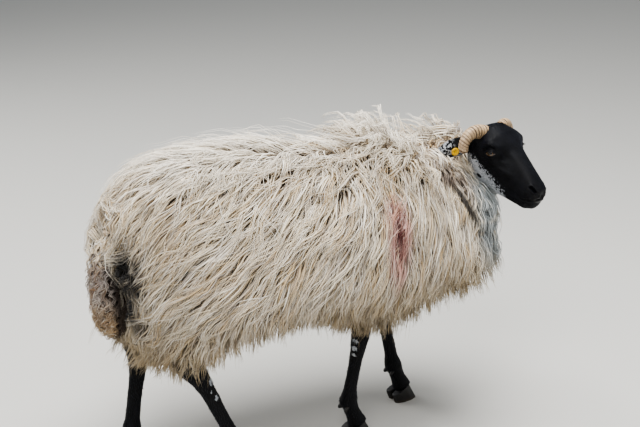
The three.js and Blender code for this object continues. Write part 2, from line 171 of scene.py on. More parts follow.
def make_floor():
    material, _, shader = new_material("floor_matt_paint", Roughness=0.9)
    shader.inputs["Base Color"].default_value = linear(FLOOR_COLOUR)
    mesh = bpy.data.meshes.new("floor")
    corners = [(x * FLOOR_REACH, y * FLOOR_REACH, 0) for x, y in ((-1, -1), (1, -1), (1, 1), (-1, 1))]
    mesh.from_pydata(corners, [], [(0, 1, 2, 3)])
    mesh.materials.append(material)
    add_object("floor", mesh)


def make_light(name, place, aim, size, power):
    data = bpy.data.lights.new(name, "AREA")
    data.shape = "DISK"
    data.size = size
    data.energy = power
    light = add_object(name, data)
    light.location = place
    light.rotation_euler = (Vector(aim) - Vector(place)).to_track_quat("-Z", "Y").to_euler()


make_floor()
for name, light in LIGHTS.items():
    make_light(name, **light)
world = bpy.data.worlds.new("overcast")
world.use_nodes = True
sky = world.node_tree.nodes["Background"].inputs
sky["Color"].default_value = linear(SKY["colour"])
sky["Strength"].default_value = SKY["strength"]
bpy.context.scene.world = world
bpy.context.scene.view_settings.look = "AgX - Medium High Contrast"
print("stage:", len(LIGHTS), "lights")

# %% [markdown]
# ## Meshes from arrays
# Wool and hair are tens of thousands of small solids, so every mesh here is filled from numpy arrays in
# one go. A helper turns points, faces, per-point values and a map into a mesh, and another reads a
# table between its rows with a curve that never overshoots, as the frame's own tables are read.

# %% Mesh helpers
def triangles_of(pieces):
    return sum(len(face.vertices) - 2 for piece in pieces for face in piece.data.polygons)


def smooth_shaded(made):
    made.data.polygons.foreach_set("use_smooth", np.full(len(made.data.polygons), True))


def mesh_from(name, points, faces, materials=(), values=None, spots=None):
    """A mesh object from points and equal-sided faces, with point values and an OFBake map if given."""
    mesh = bpy.data.meshes.new(name)
    mesh.vertices.add(len(points))
    mesh.vertices.foreach_set("co", np.asarray(points, np.float32).ravel())
    flat = [np.asarray(block, np.int32) for block in (faces if isinstance(faces, list) else [faces])]
    sides = np.concatenate([np.full(len(block), block.shape[1], np.int32) for block in flat])
    corners = np.concatenate([block.ravel() for block in flat])
    mesh.loops.add(len(corners))
    mesh.loops.foreach_set("vertex_index", corners)
    mesh.polygons.add(len(sides))
    mesh.polygons.foreach_set("loop_start", np.concatenate([[0], np.cumsum(sides)[:-1]]).astype(np.int32))
    for key, value in (values or {}).items():
        mesh.attributes.new(key, "FLOAT", "POINT").data.foreach_set("value", np.asarray(value, np.float32))
    if spots is not None:
        layer = mesh.uv_layers.new(name="OFBake")
        layer.uv.foreach_set("vector", np.asarray(spots, np.float32)[corners].ravel())
    for material in materials:
        mesh.materials.append(material)
    mesh.update(calc_edges=True)
    mesh.validate()
    made = add_object(name, mesh)
    smooth_shaded(made)
    return made


def triples(items, key):
    """A property of three numbers, read from every vertex or face at once."""
    flat = np.zeros(len(items) * 3, np.float32)
    items.foreach_get(key, flat)
    return flat.reshape(-1, 3).astype(float)


def points_of(made):
    return triples(made.data.vertices, "co")


def normals_of(made):
    return triples(made.data.vertex_normals, "vector")


def set_points(made, points):
    made.data.vertices.foreach_set("co", np.asarray(points, np.float32).ravel())
    made.data.update()


def unit(v):
    return v / np.maximum(np.linalg.norm(v, axis=-1, keepdims=True), 1e-9)

# %% Solids from the frame's nodes
def finish_modifiers(made):
    """Replaces an object's mesh by the result of its modifiers, and removes them."""
    graph = bpy.context.evaluated_depsgraph_get()
    old, new = made.data, bpy.data.meshes.new_from_object(made.evaluated_get(graph))
    made.modifiers.clear()
    new.name = old.name
    made.data = new
    bpy.data.meshes.remove(old)
    return made


def joined_copy(name, nodes):
    """Copies of frame nodes in one mesh, with their doubled corners merged."""
    work = bmesh.new()
    for node in nodes:
        work.from_mesh(frame["nodes"][node].data)
    bmesh.ops.remove_doubles(work, verts=work.verts, dist=1e-5)
    mesh = bpy.data.meshes.new(name)
    work.to_mesh(mesh)
    work.free()
    return add_object(name, mesh)


def remeshed(made, voxel):
    made.modifiers.new("voxels", "REMESH").voxel_size = voxel
    return finish_modifiers(made)


def relax(made, times, share=0.5):
    """Moves every point part of the way to the middle of its neighbours, some times over."""
    points = points_of(made)
    edges = np.zeros(len(made.data.edges) * 2, np.int32)
    made.data.edges.foreach_get("vertices", edges)
    a, b = edges.reshape(-1, 2).T
    count = np.bincount(np.concatenate([a, b]), minlength=len(points))[:, None]
    for _ in range(times):
        total = np.zeros_like(points)
        np.add.at(total, a, points[b])
        np.add.at(total, b, points[a])
        points += share * (total / np.maximum(count, 1) - points)
    set_points(made, points)


def union(base, others):
    """One solid from a base and others, which are used up."""
    for other in others:
        cut = base.modifiers.new("join", "BOOLEAN")
        cut.operation, cut.solver, cut.object = "UNION", "MANIFOLD", other
        finish_modifiers(base)
        bpy.data.objects.remove(other)
    return base

# %% Tables and lofts
def read(table, column, at):
    """A column of a table at places, by a monotone cubic through its rows."""
    xs = np.array([row["at"] for row in table], float)
    ys = np.array([row[column] for row in table], float)
    slope = np.diff(ys) / np.diff(xs)
    both = slope[:-1] * slope[1:]
    inner = np.where(both > 0, 2 * both / np.where(both > 0, slope[:-1] + slope[1:], 1), 0)
    tangent = np.concatenate([slope[:1], inner, slope[-1:]])
    i = np.clip(np.searchsorted(xs, at, side="right") - 1, 0, len(xs) - 2)
    span = xs[i + 1] - xs[i]
    t = np.clip((at - xs[i]) / span, 0, 1)
    rise = (3 - 2 * t) * t * t
    lean = (t**3 - 2 * t * t + t) * tangent[i] + (t**3 - t * t) * tangent[i + 1]
    return ys[i] * (1 - rise) + ys[i + 1] * rise + span * lean


def circle(sides):
    """Angles evenly round a circle."""
    return np.linspace(0, 2 * np.pi, sides, endpoint=False)


def grid_faces(rows, sides):
    """Quads over rows of points that each close on themselves."""
    i, j = np.meshgrid(np.arange(rows - 1), np.arange(sides), indexing="ij")
    k = (j + 1) % sides
    here, above = i * sides, (i + 1) * sides
    return np.stack([here + j, here + k, above + k, above + j], -1).reshape(-1, 4)


def lofted(name, rings, flip=False):
    """A closed skin over rings of points, shape (rows, sides, 3), each end drawn in to its middle."""
    rows, sides, _ = rings.shape
    points = np.concatenate([rings.reshape(-1, 3), rings[0].mean(0)[None], rings[-1].mean(0)[None]])
    j = np.arange(sides)
    k = (j + 1) % sides
    first, last = rows * sides, rows * sides + 1
    low = np.stack([k, j, np.full(sides, first)], 1)
    high = np.stack([(rows - 1) * sides + j, (rows - 1) * sides + k, np.full(sides, last)], 1)
    quads, ends = grid_faces(rows, sides), np.concatenate([low, high])
    if flip:
        quads, ends = quads[:, ::-1], ends[:, ::-1]
    return mesh_from(name, points, [quads, ends])


# %% [markdown]
# ## The head
# The head shows every fault, so it has the finest mesh and its own frame: +X to the muzzle, +Z to the
# crown, in millimetres. Rings follow a table of widths and heights, as a shipbuilder lofts a hull, and
# then soft brushes press in the eye sockets, tear pits, nostrils and mouth and raise the brow, cheek
# and lips. A sculpted mesh would do as well, but numbers can be changed one at a time and measured again.

# %% Head frame and table
HEAD_PLACE = {"x": 352, "y": -52, "z": 614, "turn": -73, "pitch": 23, "roll": -4}
HEAD_COLUMNS = ("at", "top", "brow", "cheek", "jaw", "floor", "brow_at", "jaw_at")
HEAD = [
    dict(zip(HEAD_COLUMNS, row))
    for row in (
        (0, 33, 30, 31, 23, -30, 18, -19),
        (15, 53, 38, 42, 30, -52, 33, -36),
        (33, 63, 44, 46, 32, -66, 37, -46),
        (57, 63, 57, 46, 31, -71, 37, -51),
        (75, 57, 50, 43, 28, -71, 31, -51),
        (97, 47, 30, 37, 25, -71, 25, -50),
        (121, 36, 25, 31, 22, -68, 18, -47),
        (147, 24, 23, 27, 21, -64, 9, -45),
        (166, 14, 23, 27, 21, -60, 2, -42),
        (182, 5, 20, 24, 18, -53, -5, -40),
    )
]
MUZZLE = {"from": 180, "end": 192.5, "middle": -23}  # where the head's rings close round the lips
FACE_HAIR = 1.6  # depth of the short coat on the face

# %% Places on the head
def head_matrix():
    turn, pitch, roll = (math.radians(HEAD_PLACE[k]) for k in ("turn", "pitch", "roll"))
    axes = Matrix.Rotation(turn, 3, "Z") @ Matrix.Rotation(pitch, 3, "Y") @ Matrix.Rotation(roll, 3, "X")
    return np.array(axes), np.array((HEAD_PLACE["x"], HEAD_PLACE["y"], HEAD_PLACE["z"]))


HEAD_AXES, HEAD_MIDDLE = head_matrix()


def from_head(points):
    """Points in the head's frame, in millimetres, to the model's frame, in metres."""
    return (np.asarray(points, float) @ HEAD_AXES.T + HEAD_MIDDLE) * MM + SHIFT


def to_head(points):
    return ((np.asarray(points, float) - SHIFT) / MM - HEAD_MIDDLE) @ HEAD_AXES


def spread(stretches):
    """Places along a length: each stretch is (from, to, step), and the last place is kept."""
    places = [np.arange(start, end - 0.3 * step, step) for start, end, step in stretches]
    return np.concatenate(places + [[stretches[-1][1]]])


# rings and columns lie closest round the eyes and the lips
RING_STRETCHES = ((0, 54, 1.6), (54, 92, 0.65), (92, 150, 1.5), (150, MUZZLE["from"], 0.85))
COLUMN_STRETCHES = (
    (0, 1.7, 0.055), (1.7, 3.1, 0.021), (3.1, 8.9, 0.055), (8.9, 10.3, 0.021), (10.3, 12, 0.055)
)
LIP_RINGS = 16

# %% Rings of the head
def head_rings():
    """Rings of points round the head, from the poll to the lips, inside the frame by the hair's depth."""
    bend = np.linspace(0, 0.5 * np.pi, LIP_RINGS + 2)[1:-1]
    lips = MUZZLE["from"] + (MUZZLE["end"] - MUZZLE["from"]) * np.sin(bend)
    x = np.concatenate([spread(RING_STRETCHES), lips])
    close = np.concatenate([np.ones(len(x) - LIP_RINGS), np.cos(bend) ** 0.85])
    v = {column: read(HEAD, column, x) for column in HEAD_COLUMNS[1:]}
    for column, inset in (("top", 1), ("brow", 1), ("cheek", 1), ("jaw", 1), ("floor", -1)):
        v[column] = v[column] - inset * FACE_HAIR
    corners = (
        (0 * x, v["top"]),
        (v["brow"] * 0.56, v["top"] - (v["top"] - v["brow_at"]) * 0.16),
        (v["brow"], v["brow_at"]),
        (v["cheek"], (v["brow_at"] + v["jaw_at"]) * 0.5),
        (v["jaw"], v["jaw_at"]),
        (v["jaw"] * 0.52, v["floor"] + (v["jaw_at"] - v["floor"]) * 0.18),
        (0 * x, v["floor"]),
    )
    half = np.stack([np.stack(corner, -1) for corner in corners], 1)
    whole = np.concatenate([half, half[:, -2:0:-1] * (-1, 1)], 1)
    t = spread(COLUMN_STRETCHES)[:-1]
    i, f = t.astype(int), (t % 1)[None, :, None]
    p0, p1, p2, p3 = (whole[:, (i + k) % whole.shape[1]] for k in (-1, 0, 1, 2))
    bend_in, curl = 2 * p0 - 5 * p1 + 4 * p2 - p3, 3 * p1 - p0 - 3 * p2 + p3
    across = p1 + 0.5 * ((p2 - p0) * f + bend_in * f**2 + curl * f**3)
    middle = np.array((0, MUZZLE["middle"]))
    across = middle + (across - middle) * close[:, None, None]
    return np.concatenate([np.broadcast_to(x[:, None, None], across.shape[:2] + (1,)), across], -1)


# %% Brushes
def mirrored_to_left(points):
    """Points of the right cheek on the left one, so that one rule serves both."""
    return points * (1, 0, 1) + np.abs(points) * (0, 1, 0)


def near(points, centre, radii):
    """How strongly a soft brush at a place touches points, 1 at its middle; both cheeks are touched."""
    return np.exp(-np.sum(((mirrored_to_left(points) - centre) / radii) ** 2, -1))


def beside(points, path):
    """The distance of points from a path, on both cheeks."""
    mirrored = mirrored_to_left(points)
    best = np.full(len(points), 1e9)
    for a, b in zip(np.array(path[:-1], float), np.array(path[1:], float)):
        t = np.clip((mirrored - a) @ (b - a) / ((b - a) @ (b - a)), 0, 1)
        best = np.minimum(best, np.linalg.norm(mirrored - a - t[:, None] * (b - a), axis=1))
    return best


# place, reach and push of each brush; +y is away from the midline
FACE_BRUSHES = {
    "brow": ((66, 50, 40), (15, 10, 6), (0, 4.0, 2.5)),
    "cheekbone": ((64, 47, 6), (17, 10, 6), (0, 3.0, 0)),
    "tear_pit": ((92, 38, 17), (5, 7, 3.2), (-0.5, -3.0, -0.5)),
    "before_the_eye": ((98, 30, 24), (15, 9, 9), (0, -2.5, 0)),
    "facial_crest": ((104, 34, -2), (24, 9, 5), (0, 2.2, 0)),
    "under_the_crest": ((112, 30, -18), (24, 9, 8), (0, -2.6, 0)),
    "cheek": ((46, 42, -26), (24, 14, 18), (0, 3.2, 0)),
    "behind_the_lips": ((140, 24, -34), (12, 9, 9), (0, -2.0, 0)),
    "muzzle": ((172, 22, -14), (13, 10, 11), (0, 2.4, 0)),
    "nose_bridge": ((120, 0, 36), (40, 9, 12), (0, 0, 1.6)),
    "chin": ((168, 8, -58), (12, 12, 8), (0, 0, -1.6)),
    "jaw_hollow": ((108, 0, -70), (36, 9, 8), (0, 0, 3.0)),
    "crown": ((38, 0, 60), (16, 16, 8), (0, 0, 3.0)),
}
NOSTRIL = [(172.5, 22.5, -1.0), (178, 20.5, -3.0), (183, 16.5, -7.0), (187, 10.5, -11.5)]
MOUTH = [(194, 0, -21), (190, 12, -21), (183, 20, -25), (172, 25, -31), (158, 26, -36), (151, 25, -38)]
CLEFT = [(184, 0, -5), (191, 0, -12), (193, 0, -20)]


def sculpt_face(rings):
    rows, sides, _ = rings.shape
    points = rings.reshape(-1, 3)
    for place, reach, push in FACE_BRUSHES.values():
        outward = np.stack([np.ones(len(points)), np.tanh(points[:, 1] / 3), np.ones(len(points))], 1)
        points = points + near(points, place, reach)[:, None] * np.array(push) * outward
    grid = points.reshape(rows, sides, 3)
    along = np.gradient(grid, axis=0)
    around = np.roll(grid, -1, 1) - np.roll(grid, 1, 1)
    normal = unit(np.cross(around, along)).reshape(-1, 3)
    centre = np.array((0, 0, -10.0)) + points * (1, 0, 0)
    normal *= np.sign(np.sum(normal * (points - centre), 1, keepdims=True))
    mouth, nostril, cleft = beside(points, MOUTH), beside(points, NOSTRIL), beside(points, CLEFT)
    lips = 1.1 * np.exp(-((mouth - 4.2) ** 2) / 6) - 3.4 * np.exp(-((mouth / 1.25) ** 2))
    wings = 1.3 * np.exp(-((nostril - 5.2) ** 2) / 4) - 7.5 * np.exp(-((nostril / 2.7) ** 2) ** 1.3)
    points = points + normal * (lips + wings - 2.0 * np.exp(-((cleft / 1.3) ** 2)))[:, None]
    return points.reshape(rows, sides, 3)


# %% [markdown]
# ### Lids
# A ewe's eye looks sideways, and its slit rises towards the muzzle. The skin round it is set by its
# distance from the slit's edge: under the eyeball inside the slit, a rounded rim on the edge, a lid that
# lies on the ball with a fold above it, and then back to the face. The rings are close enough there
# to hold a rim 1.5 mm thick, so that the lids are part of the one skin.

# %% Lids
EYE = {"x": 69, "y": 44, "z": 22, "radius": 12.5}
EYE_LOOK = (0.22, 1.0, 0.14)  # where the eye points: ahead, outward, up
EYE_SLIT = (1.0, 0.0, 0.46)  # the slit's direction towards the muzzle
SLIT = {"half": 11.0, "upper": 3.4, "lower": 4.2, "rim": 1.5, "fold_at": 4.6, "end": 13}
BALL_REACH = 11.8  # past this distance from its middle the ball's curve runs on as a straight slope
UNDER_LID = 3.0  # how far the skin goes under the ball inside the slit


def eye_axes(side):
    """Middle and axes of an eye in the head's frame: along the slit, up across it, and outward."""
    middle = np.array((EYE["x"], side * EYE["y"], EYE["z"]), float)
    look = unit(np.array((EYE_LOOK[0], side * EYE_LOOK[1], EYE_LOOK[2])))
    slit = unit(np.array(EYE_SLIT) - look * np.dot(EYE_SLIT, look))
    return middle, slit, np.cross(slit, look) * side, look


def smooth_step(low, high, v):
    t = np.clip((v - low) / (high - low), 0, 1)
    return t * t * (3 - 2 * t)


def slit_distance(a, b):
    """Distance outside the slit's edge, roughly in millimetres, for places in the eye's plane."""
    height = np.where(b > 0, SLIT["upper"], SLIT["lower"]) * (1.06 - 0.10 * a / SLIT["half"])
    reach = np.sqrt((a / SLIT["half"]) ** 2 + (b / height) ** 2) + 1e-9
    from_middle = np.hypot(a, b)
    return from_middle - from_middle / reach


def shape_lids(points):
    """Lays the skin round each eye on its ball: sunk inside the slit, a rim on its edge, and a fold above."""
    for side in (-1, 1):
        middle, slit, up, look = eye_axes(side)
        local = (points - middle) @ np.stack([slit, up, look], 1)
        a, b, h = local.T
        outside = slit_distance(a, b)
        from_middle = np.hypot(a, b)
        ball = np.sqrt(np.maximum(EYE["radius"] ** 2 - np.minimum(from_middle, BALL_REACH) ** 2, 0))
        ball -= 0.45 * np.maximum(from_middle - BALL_REACH, 0)
        rim = smooth_step(-0.5, 0.9, outside)
        lid = ball - UNDER_LID + (UNDER_LID + SLIT["rim"]) * rim
        lid += 0.5 * np.exp(-((outside - 1.1) ** 2) / 0.8)
        fold = np.where(b > 0, 1.3, 0.7) * np.exp(-(((outside - SLIT["fold_at"]) / 0.9) ** 2))
        crinkle = 0.28 * np.sin(2 * np.pi * (outside + 0.4 * np.sin(a * 0.6)) / 2.3)
        crinkle *= smooth_step(2, 3.5, outside) * (1 - smooth_step(7, 11, outside))
        lid += crinkle - fold
        back_to_face = smooth_step(3.5, SLIT["end"], outside)
        raised = lid * (1 - back_to_face) + h * back_to_face
        touched = (h > -4) & (outside < SLIT["end"])
        points = points + np.where(touched, raised - h, 0)[:, None] * look
    return points


rings = sculpt_face(head_rings())
head = lofted("head_skin", from_head(shape_lids(rings.reshape(-1, 3)).reshape(rings.shape)))
print("head:", len(head.data.vertices), "points")

# %% [markdown]
# ### Ears
# A sheep's ear is a long leaf that is cupped along its length, thick at its root and thin at its edge.
# Its points come from a formula of the place along and across it, the frame's own, drawn finer.

# %% Ears
EAR = {"length": 88, "width": 44, "thick": 3.4, "cup": 8, "x": 14, "y": 34, "z": 8}
EAR_LIE = {"back": -0.4, "out": 0.85, "drop": -0.42, "lean": -0.2}
SIDES = {"right": -1, "left": 1}


def ear_root(side):
    return np.array((EAR["x"], side * EAR["y"], EAR["z"]))


def ear_axes(side):
    """Axes of an ear in the head's frame: to its tip, across it, and out of its cup."""
    along = unit(np.array((EAR_LIE["back"], side * EAR_LIE["out"], EAR_LIE["drop"])))
    across = -unit(np.cross(np.cross((EAR_LIE["lean"], 0, 1), along), along))
    return along, across, np.cross(along, across) * side


def ear_point(side, t, u, lift):
    """Places on an ear in the head's frame: t along it, u from edge to edge, and lift off its middle."""
    along, across, out = ear_axes(side)
    t, u, lift = (np.asarray(v, float)[..., None] for v in (t, u, lift))
    cup = EAR["cup"] * (u * u - 0.4) * np.sin(np.pi * np.minimum(1, t * 0.9 + 0.1))
    width = EAR["width"] / 2 * np.maximum(np.sin(np.pi * (0.16 + 0.84 * t)), 0) ** 0.75
    return ear_root(side) + along * EAR["length"] * t + across * width * u + out * (lift - cup)


def ear_skin(name, side, rows=56, sides=56):
    t = 0.985 * np.sin(np.linspace(0, 0.5 * np.pi, rows)) ** 1.1
    t, angle = np.meshgrid(t, circle(sides), indexing="ij")
    thick = EAR["thick"] / 2 * (1 - 0.55 * t) + 4 * (1 - t) ** 4
    edge = 1 + 0.02 * np.sin(9 * t + 4 * np.sin(angle))
    ripple = 0.35 * np.sin(7 * np.cos(angle)) * np.sin(np.pi * t)
    points = ear_point(side, t, np.cos(angle) * 0.97 * edge, np.sin(angle) * thick + ripple)
    return lofted(name, from_head(points), flip=side > 0)


ears = [ear_skin(f"ear_{name}_skin", side) for name, side in SIDES.items()]
print("ears:", [len(ear.data.vertices) for ear in ears], "points")

# %% [markdown]
# ## Legs
# Each leg is a loft over the frame's own table of centres and half sizes, drawn four times finer and
# the hair's depth inside it. A tube would do for the bone alone, but the shank isn't round: tendons run
# behind the bone with a groove on either side, and a formula of the angle gives both.

# %% Legs
LEG_COLUMNS = ("at", "back", "deep", "wide")
FORE = (
    (18, -24, 26, 22), (42, -16, 22, 21), (66, -5, 18, 17.5), (88, 3, 21, 18), (118, 3, 15.5, 14),
    (160, 2, 15, 13.5), (205, 1, 17, 16.5), (232, 0, 20, 20), (262, 2, 22, 21), (330, 6, 34, 27),
    (380, 8, 38, 30),
)
HIND = (
    (18, -25, 26, 22), (42, -17, 22, 21), (66, -6, 18.5, 17.5), (90, 2, 22, 18.5), (118, 2, 17, 14.5),
    (150, 2, 16.5, 14), (205, 1, 18, 15), (245, 3, 23, 18), (278, 8, 31, 20), (310, -2, 33, 24),
    (360, -34, 44, 30), (410, -44, 50, 34),
)
LEGS = {
    "front_right": {"table": FORE, "top": 330, "x": 34, "y": -44, "lead": 36, "splay": -24},
    "front_left": {"table": FORE, "top": 330, "x": 210, "y": 60, "lead": -42, "splay": 18},
    "hind_right": {"table": HIND, "top": 360, "x": -252, "y": -92, "lead": -126, "splay": -10},
    "hind_left": {"table": HIND, "top": 360, "x": -417, "y": 68, "lead": 56, "splay": 22},
}
FETLOCK = 88
CORONET = {"slope": 0.42, "ahead": 20, "up": 34}
LEG_HAIR = 1.8  # depth of the short coat on the legs
SQUARENESS = 2.2  # the exponent of a leg's section: 2 is an oval, and more is squarer


def leg_skin(name, leg, rows=96, sides=36):
    table = [dict(zip(LEG_COLUMNS, row)) for row in leg["table"]]
    angle = circle(sides)[None, :]
    c, s = np.cos(angle), np.sin(angle)
    square = 2 / SQUARENESS
    c, s = np.sign(c) * np.abs(c) ** square, np.sign(s) * np.abs(s) ** square

    def section(up):
        rise = np.maximum(0, up - FETLOCK) / (leg["top"] - FETLOCK)
        deep, wide = (read(table, column, up) - LEG_HAIR for column in ("deep", "wide"))
        groove = 0.13 * np.exp(-(((up - 148) / 42) ** 4)) * np.exp(-(((c + 0.35) / 0.22) ** 2))
        joint = 0.05 * np.exp(-(((up - 205) / 14) ** 2)) * np.exp(-(((c - 0.8) / 0.5) ** 2))
        cleft = 0.22 * np.exp(-(((up - 38) / 20) ** 2)) * (c > 0.2) * np.exp(-((s / 0.28) ** 2))
        x = leg["x"] + leg["lead"] * rise - read(table, "back", up) + c * deep * (1 + joint - cleft)
        return x, leg["y"] + leg["splay"] * rise + s * wide * (1 - groove)

    # the hair ends at the coronet, which slopes down towards the heel, so each side of the leg starts there
    low = np.full(angle.shape, float(CORONET["up"]))
    for _ in range(8):
        low = 1.0 + CORONET["up"] + CORONET["slope"] * (section(low)[0] - leg["x"] - CORONET["ahead"])
    up = low + (leg["table"][-1][0] - low) * np.linspace(0, 1, rows)[:, None]
    return lofted(f"leg_{name}_skin", np.stack([*section(up), up], -1) * MM + SHIFT)


legs = [leg_skin(name, leg) for name, leg in LEGS.items()]
print("legs:", len(legs[0].data.vertices), "points each")

# %% [markdown]
# ## Roots
# Wool and hair grow from roots that keep their distance from each other. Geometry Nodes scatter them:
# Distribute Points on Faces, in its Poisson mode, never puts two closer than a set distance. Random
# numbers alone would leave bald spots between crowds. The points come back as plain arrays.

# %% Scatter
def new_rule(name, inputs):
    """A Geometry Nodes tree that gives a geometry, and the sockets of its inputs, each of a kind."""
    tree = bpy.data.node_groups.new(name, "GeometryNodeTree")
    for socket, kind in inputs.items():
        tree.interface.new_socket(socket, in_out="INPUT", socket_type=f"NodeSocket{kind}")
    tree.interface.new_socket("Geometry", in_out="OUTPUT", socket_type="NodeSocketGeometry")
    return tree, add_node(tree, "NodeGroupInput").outputs


def reckon(tree, operation, *values, clamp=False):
    """A Math node's result."""
    settings = {"operation": operation, "use_clamp": clamp}
    return add_node(tree, "ShaderNodeMath", dict(enumerate(values)), **settings).outputs[0]


def step(tree, kind, **inputs):
    """A Geometry Nodes step's result; an input's name has _ for each space."""
    spaced = {name.replace("_", " "): value for name, value in inputs.items()}
    return add_node(tree, f"GeometryNode{kind}", spaced).outputs[0]


def scatter_tree():
    """Turns a surface into evenly scattered points. Inputs: Spacing in metres, Seed."""
    tree, start = new_rule("scatter_roots", {"Geometry": "Geometry", "Spacing": "Float", "Seed": "Int"})
    # many more are thrown than the spacing keeps, so that no gap is left
    thrown = reckon(tree, "MULTIPLY", reckon(tree, "POWER", start["Spacing"], -2.0), 6.0)
    surface = {"Mesh": start["Geometry"], "Seed": start["Seed"]}
    spacing = {"Distance Min": start["Spacing"], "Density Max": thrown}
    kind = "GeometryNodeDistributePointsOnFaces"
    dots = add_node(tree, kind, surface | spacing, distribute_method="POISSON")
    corners = step(tree, "PointsToVertices", Points=dots.outputs["Points"])
    add_node(tree, "NodeGroupOutput", {"Geometry": corners})
    return tree


SCATTER = scatter_tree()


def set_input(modifier, name, value):
    """Sets a node modifier's input by its name, through its socket's identifier."""
    for item in modifier.node_group.interface.items_tree:
        if item.in_out == "INPUT" and item.name == name:
            modifier[item.identifier] = value


def scattered(made, spacing, seed):
    """Points scattered over an object's surface, a spacing in millimetres apart in a full coat."""
    modifier = made.modifiers.new("roots", "NODES")
    modifier.node_group = SCATTER
    set_input(modifier, "Spacing", spacing / LOOSE**0.5 * MM)
    set_input(modifier, "Seed", seed)
    graph = bpy.context.evaluated_depsgraph_get()
    mesh = bpy.data.meshes.new_from_object(made.evaluated_get(graph))
    roots = triples(mesh.vertices, "co")
    made.modifiers.clear()
    bpy.data.meshes.remove(mesh)
    return roots


def tree_of(made):
    mesh = made.data
    return BVHTree.FromPolygons([v.co for v in mesh.vertices], [p.vertices for p in mesh.polygons])


def nearest(tree, points):
    """The closest places on a surface and its outward normals there."""
    found = [tree.find_nearest(Vector(point)) for point in points]
    return np.array([f[0] for f in found]), np.array([f[1] for f in found])


def away_from(tree, points):
    """How far points are from a surface."""
    return np.linalg.norm(nearest(tree, points)[0] - points, axis=1)


# %% [markdown]
# ## Body under the wool
# The body is the frame's trunk and neck drawn in by the depth of the fleece: 44 mm on the back and
# sides, and less towards the head. Voxels merge the copies into one closed surface that can be pushed
# inwards a little at a time, and relaxed in between, without folding over. A cast of the real animal
# would show more muscle, but under this much wool only its bulk is felt.

# %% Body
WOOL_DEPTH = {"body": 44, "tail": 15, "by_the_head": 15}
BODY_VOXEL, TAIL_VOXEL = 12 * MM, 5 * MM


def drawn_in(made, depth, steps=4):
    """Pushes a surface inwards by a depth at each point, in steps."""
    share = depth(points_of(made)) * MM / steps
    for _ in range(steps):
        set_points(made, points_of(made) - normals_of(made) * share[:, None])
        relax(made, 3)


def body_depth(points):
    away = np.linalg.norm(to_head(points) - (15, 0, -10), axis=1)
    return np.clip(0.30 * (away - 45), WOOL_DEPTH["by_the_head"], WOOL_DEPTH["body"])


body = remeshed(joined_copy("body_skin", ["trunk", "neck"]), BODY_VOXEL)
outside = tree_of(body)
relax(body, 6)
drawn_in(body, body_depth)
body = remeshed(body, BODY_VOXEL)
relax(body, 2)
ground = tree_of(body)
dock = remeshed(joined_copy("dock_skin", ["tail"]), TAIL_VOXEL)
tail_outside = tree_of(dock)
relax(dock, 3)
drawn_in(dock, lambda points: np.full(len(points), WOOL_DEPTH["tail"]))
tail_ground = tree_of(dock)

print("body:", len(body.data.polygons), "faces, dock:", len(dock.data.polygons))

# %% Roots of wool and hair
# they are scattered while the body and the tail are still apart from the head and legs
WOOL_SPACING = {"under_wool": 20.9, "over_wool": 23.5, "long_locks": 36, "standing_tufts": 10, "wisps": 28}
WOOL_SEEDS = {"under_wool": 3, "over_wool": 11, "long_locks": 13, "standing_tufts": 19, "wisps": 17}
TAIL_SPACING, FACE_SPACING, EAR_SPACING, LEG_SPACING = 8, 2.3, 2.1, 3.8
hair_roots = {"head": scattered(head, FACE_SPACING, seed=29)}
hair_roots |= {f"ear_{n}": scattered(ear, EAR_SPACING, seed=31) for n, ear in zip(SIDES, ears)}
hair_roots |= {f"leg_{n}": scattered(leg, LEG_SPACING, seed=37) for n, leg in zip(LEGS, legs)}
hair_ground = {name: tree_of(made) for name, made in zip(hair_roots, [head, *ears, *legs])}
wool_roots = {name: scattered(body, WOOL_SPACING[name], seed) for name, seed in WOOL_SEEDS.items()}
tail_roots = scattered(dock, TAIL_SPACING, seed=23)
print("wool roots:", {name: len(roots) for name, roots in wool_roots.items()}, "tail:", len(tail_roots))
print("hair roots:", {name: len(roots) for name, roots in hair_roots.items()})

# %% [markdown]
# ### One skin
# An animal has one skin, so the pieces are joined into one closed solid that takes the place of all its
# flesh. Separate pieces would show a seam at the ear or the elbow. Before joining, each piece keeps a
# search tree of its own surface, which roots and finishes use.

# %% One skin
FLESH = ["trunk", "neck", "head", "tail"] + [f"ear_{n}" for n in SIDES] + [f"leg_{n}" for n in LEGS]
skin = union(body, [dock, *legs, *ears, head])
skin.name = skin.data.name = "skin"
smooth_shaded(skin)


def finishes(made, surfaces):
    """0 for each face that lies on one of the surfaces, the woolly ones, and 1 elsewhere."""
    middles = triples(made.data.polygons, "center")
    off = [np.array([tree.find_nearest(middle)[3] for middle in middles]) for tree in surfaces]
    return (np.min(off, 0) > 0.3 * MM).astype(np.int32)


skin_finishes = finishes(skin, (ground, tail_ground))
print("skin:", triangles_of([skin]), "triangles")

# %% [markdown]
# ## How the wool lies
# A hill fleece parts along the back and hangs. Over the rump it is swept backwards, at the shoulder it
# hangs straight, and each lock wanders a little. The lie is a direction at any place: a sum of back,
# out and down that is laid flat on the surface. Guides then walk from each root along the lie, a step at
# a time, and rise from the skin to the fleece's outside. Past the flank they stop following the body and
# hang free. Combing by hand would give more control, but the rule can be changed and run again.

# %% Lie of the wool
SWEEP = {  # how far the wool is swept backwards for each step down, at places along the body
    "x": (-0.46, -0.25, -0.05, 0.06, 0.22, 0.42),
    "high": (1.60, 1.60, 1.30, 0.60, 0.45, 0.30),
    "middle": (0.85, 0.95, 0.65, 0.16, 0.08, 0.02),
    "low": (0.70, 0.80, 0.85, 0.70, 0.45, 0.10),
}
SWEEP_HEIGHTS = {"low": 0.27, "middle": 0.42, "high": 0.60}


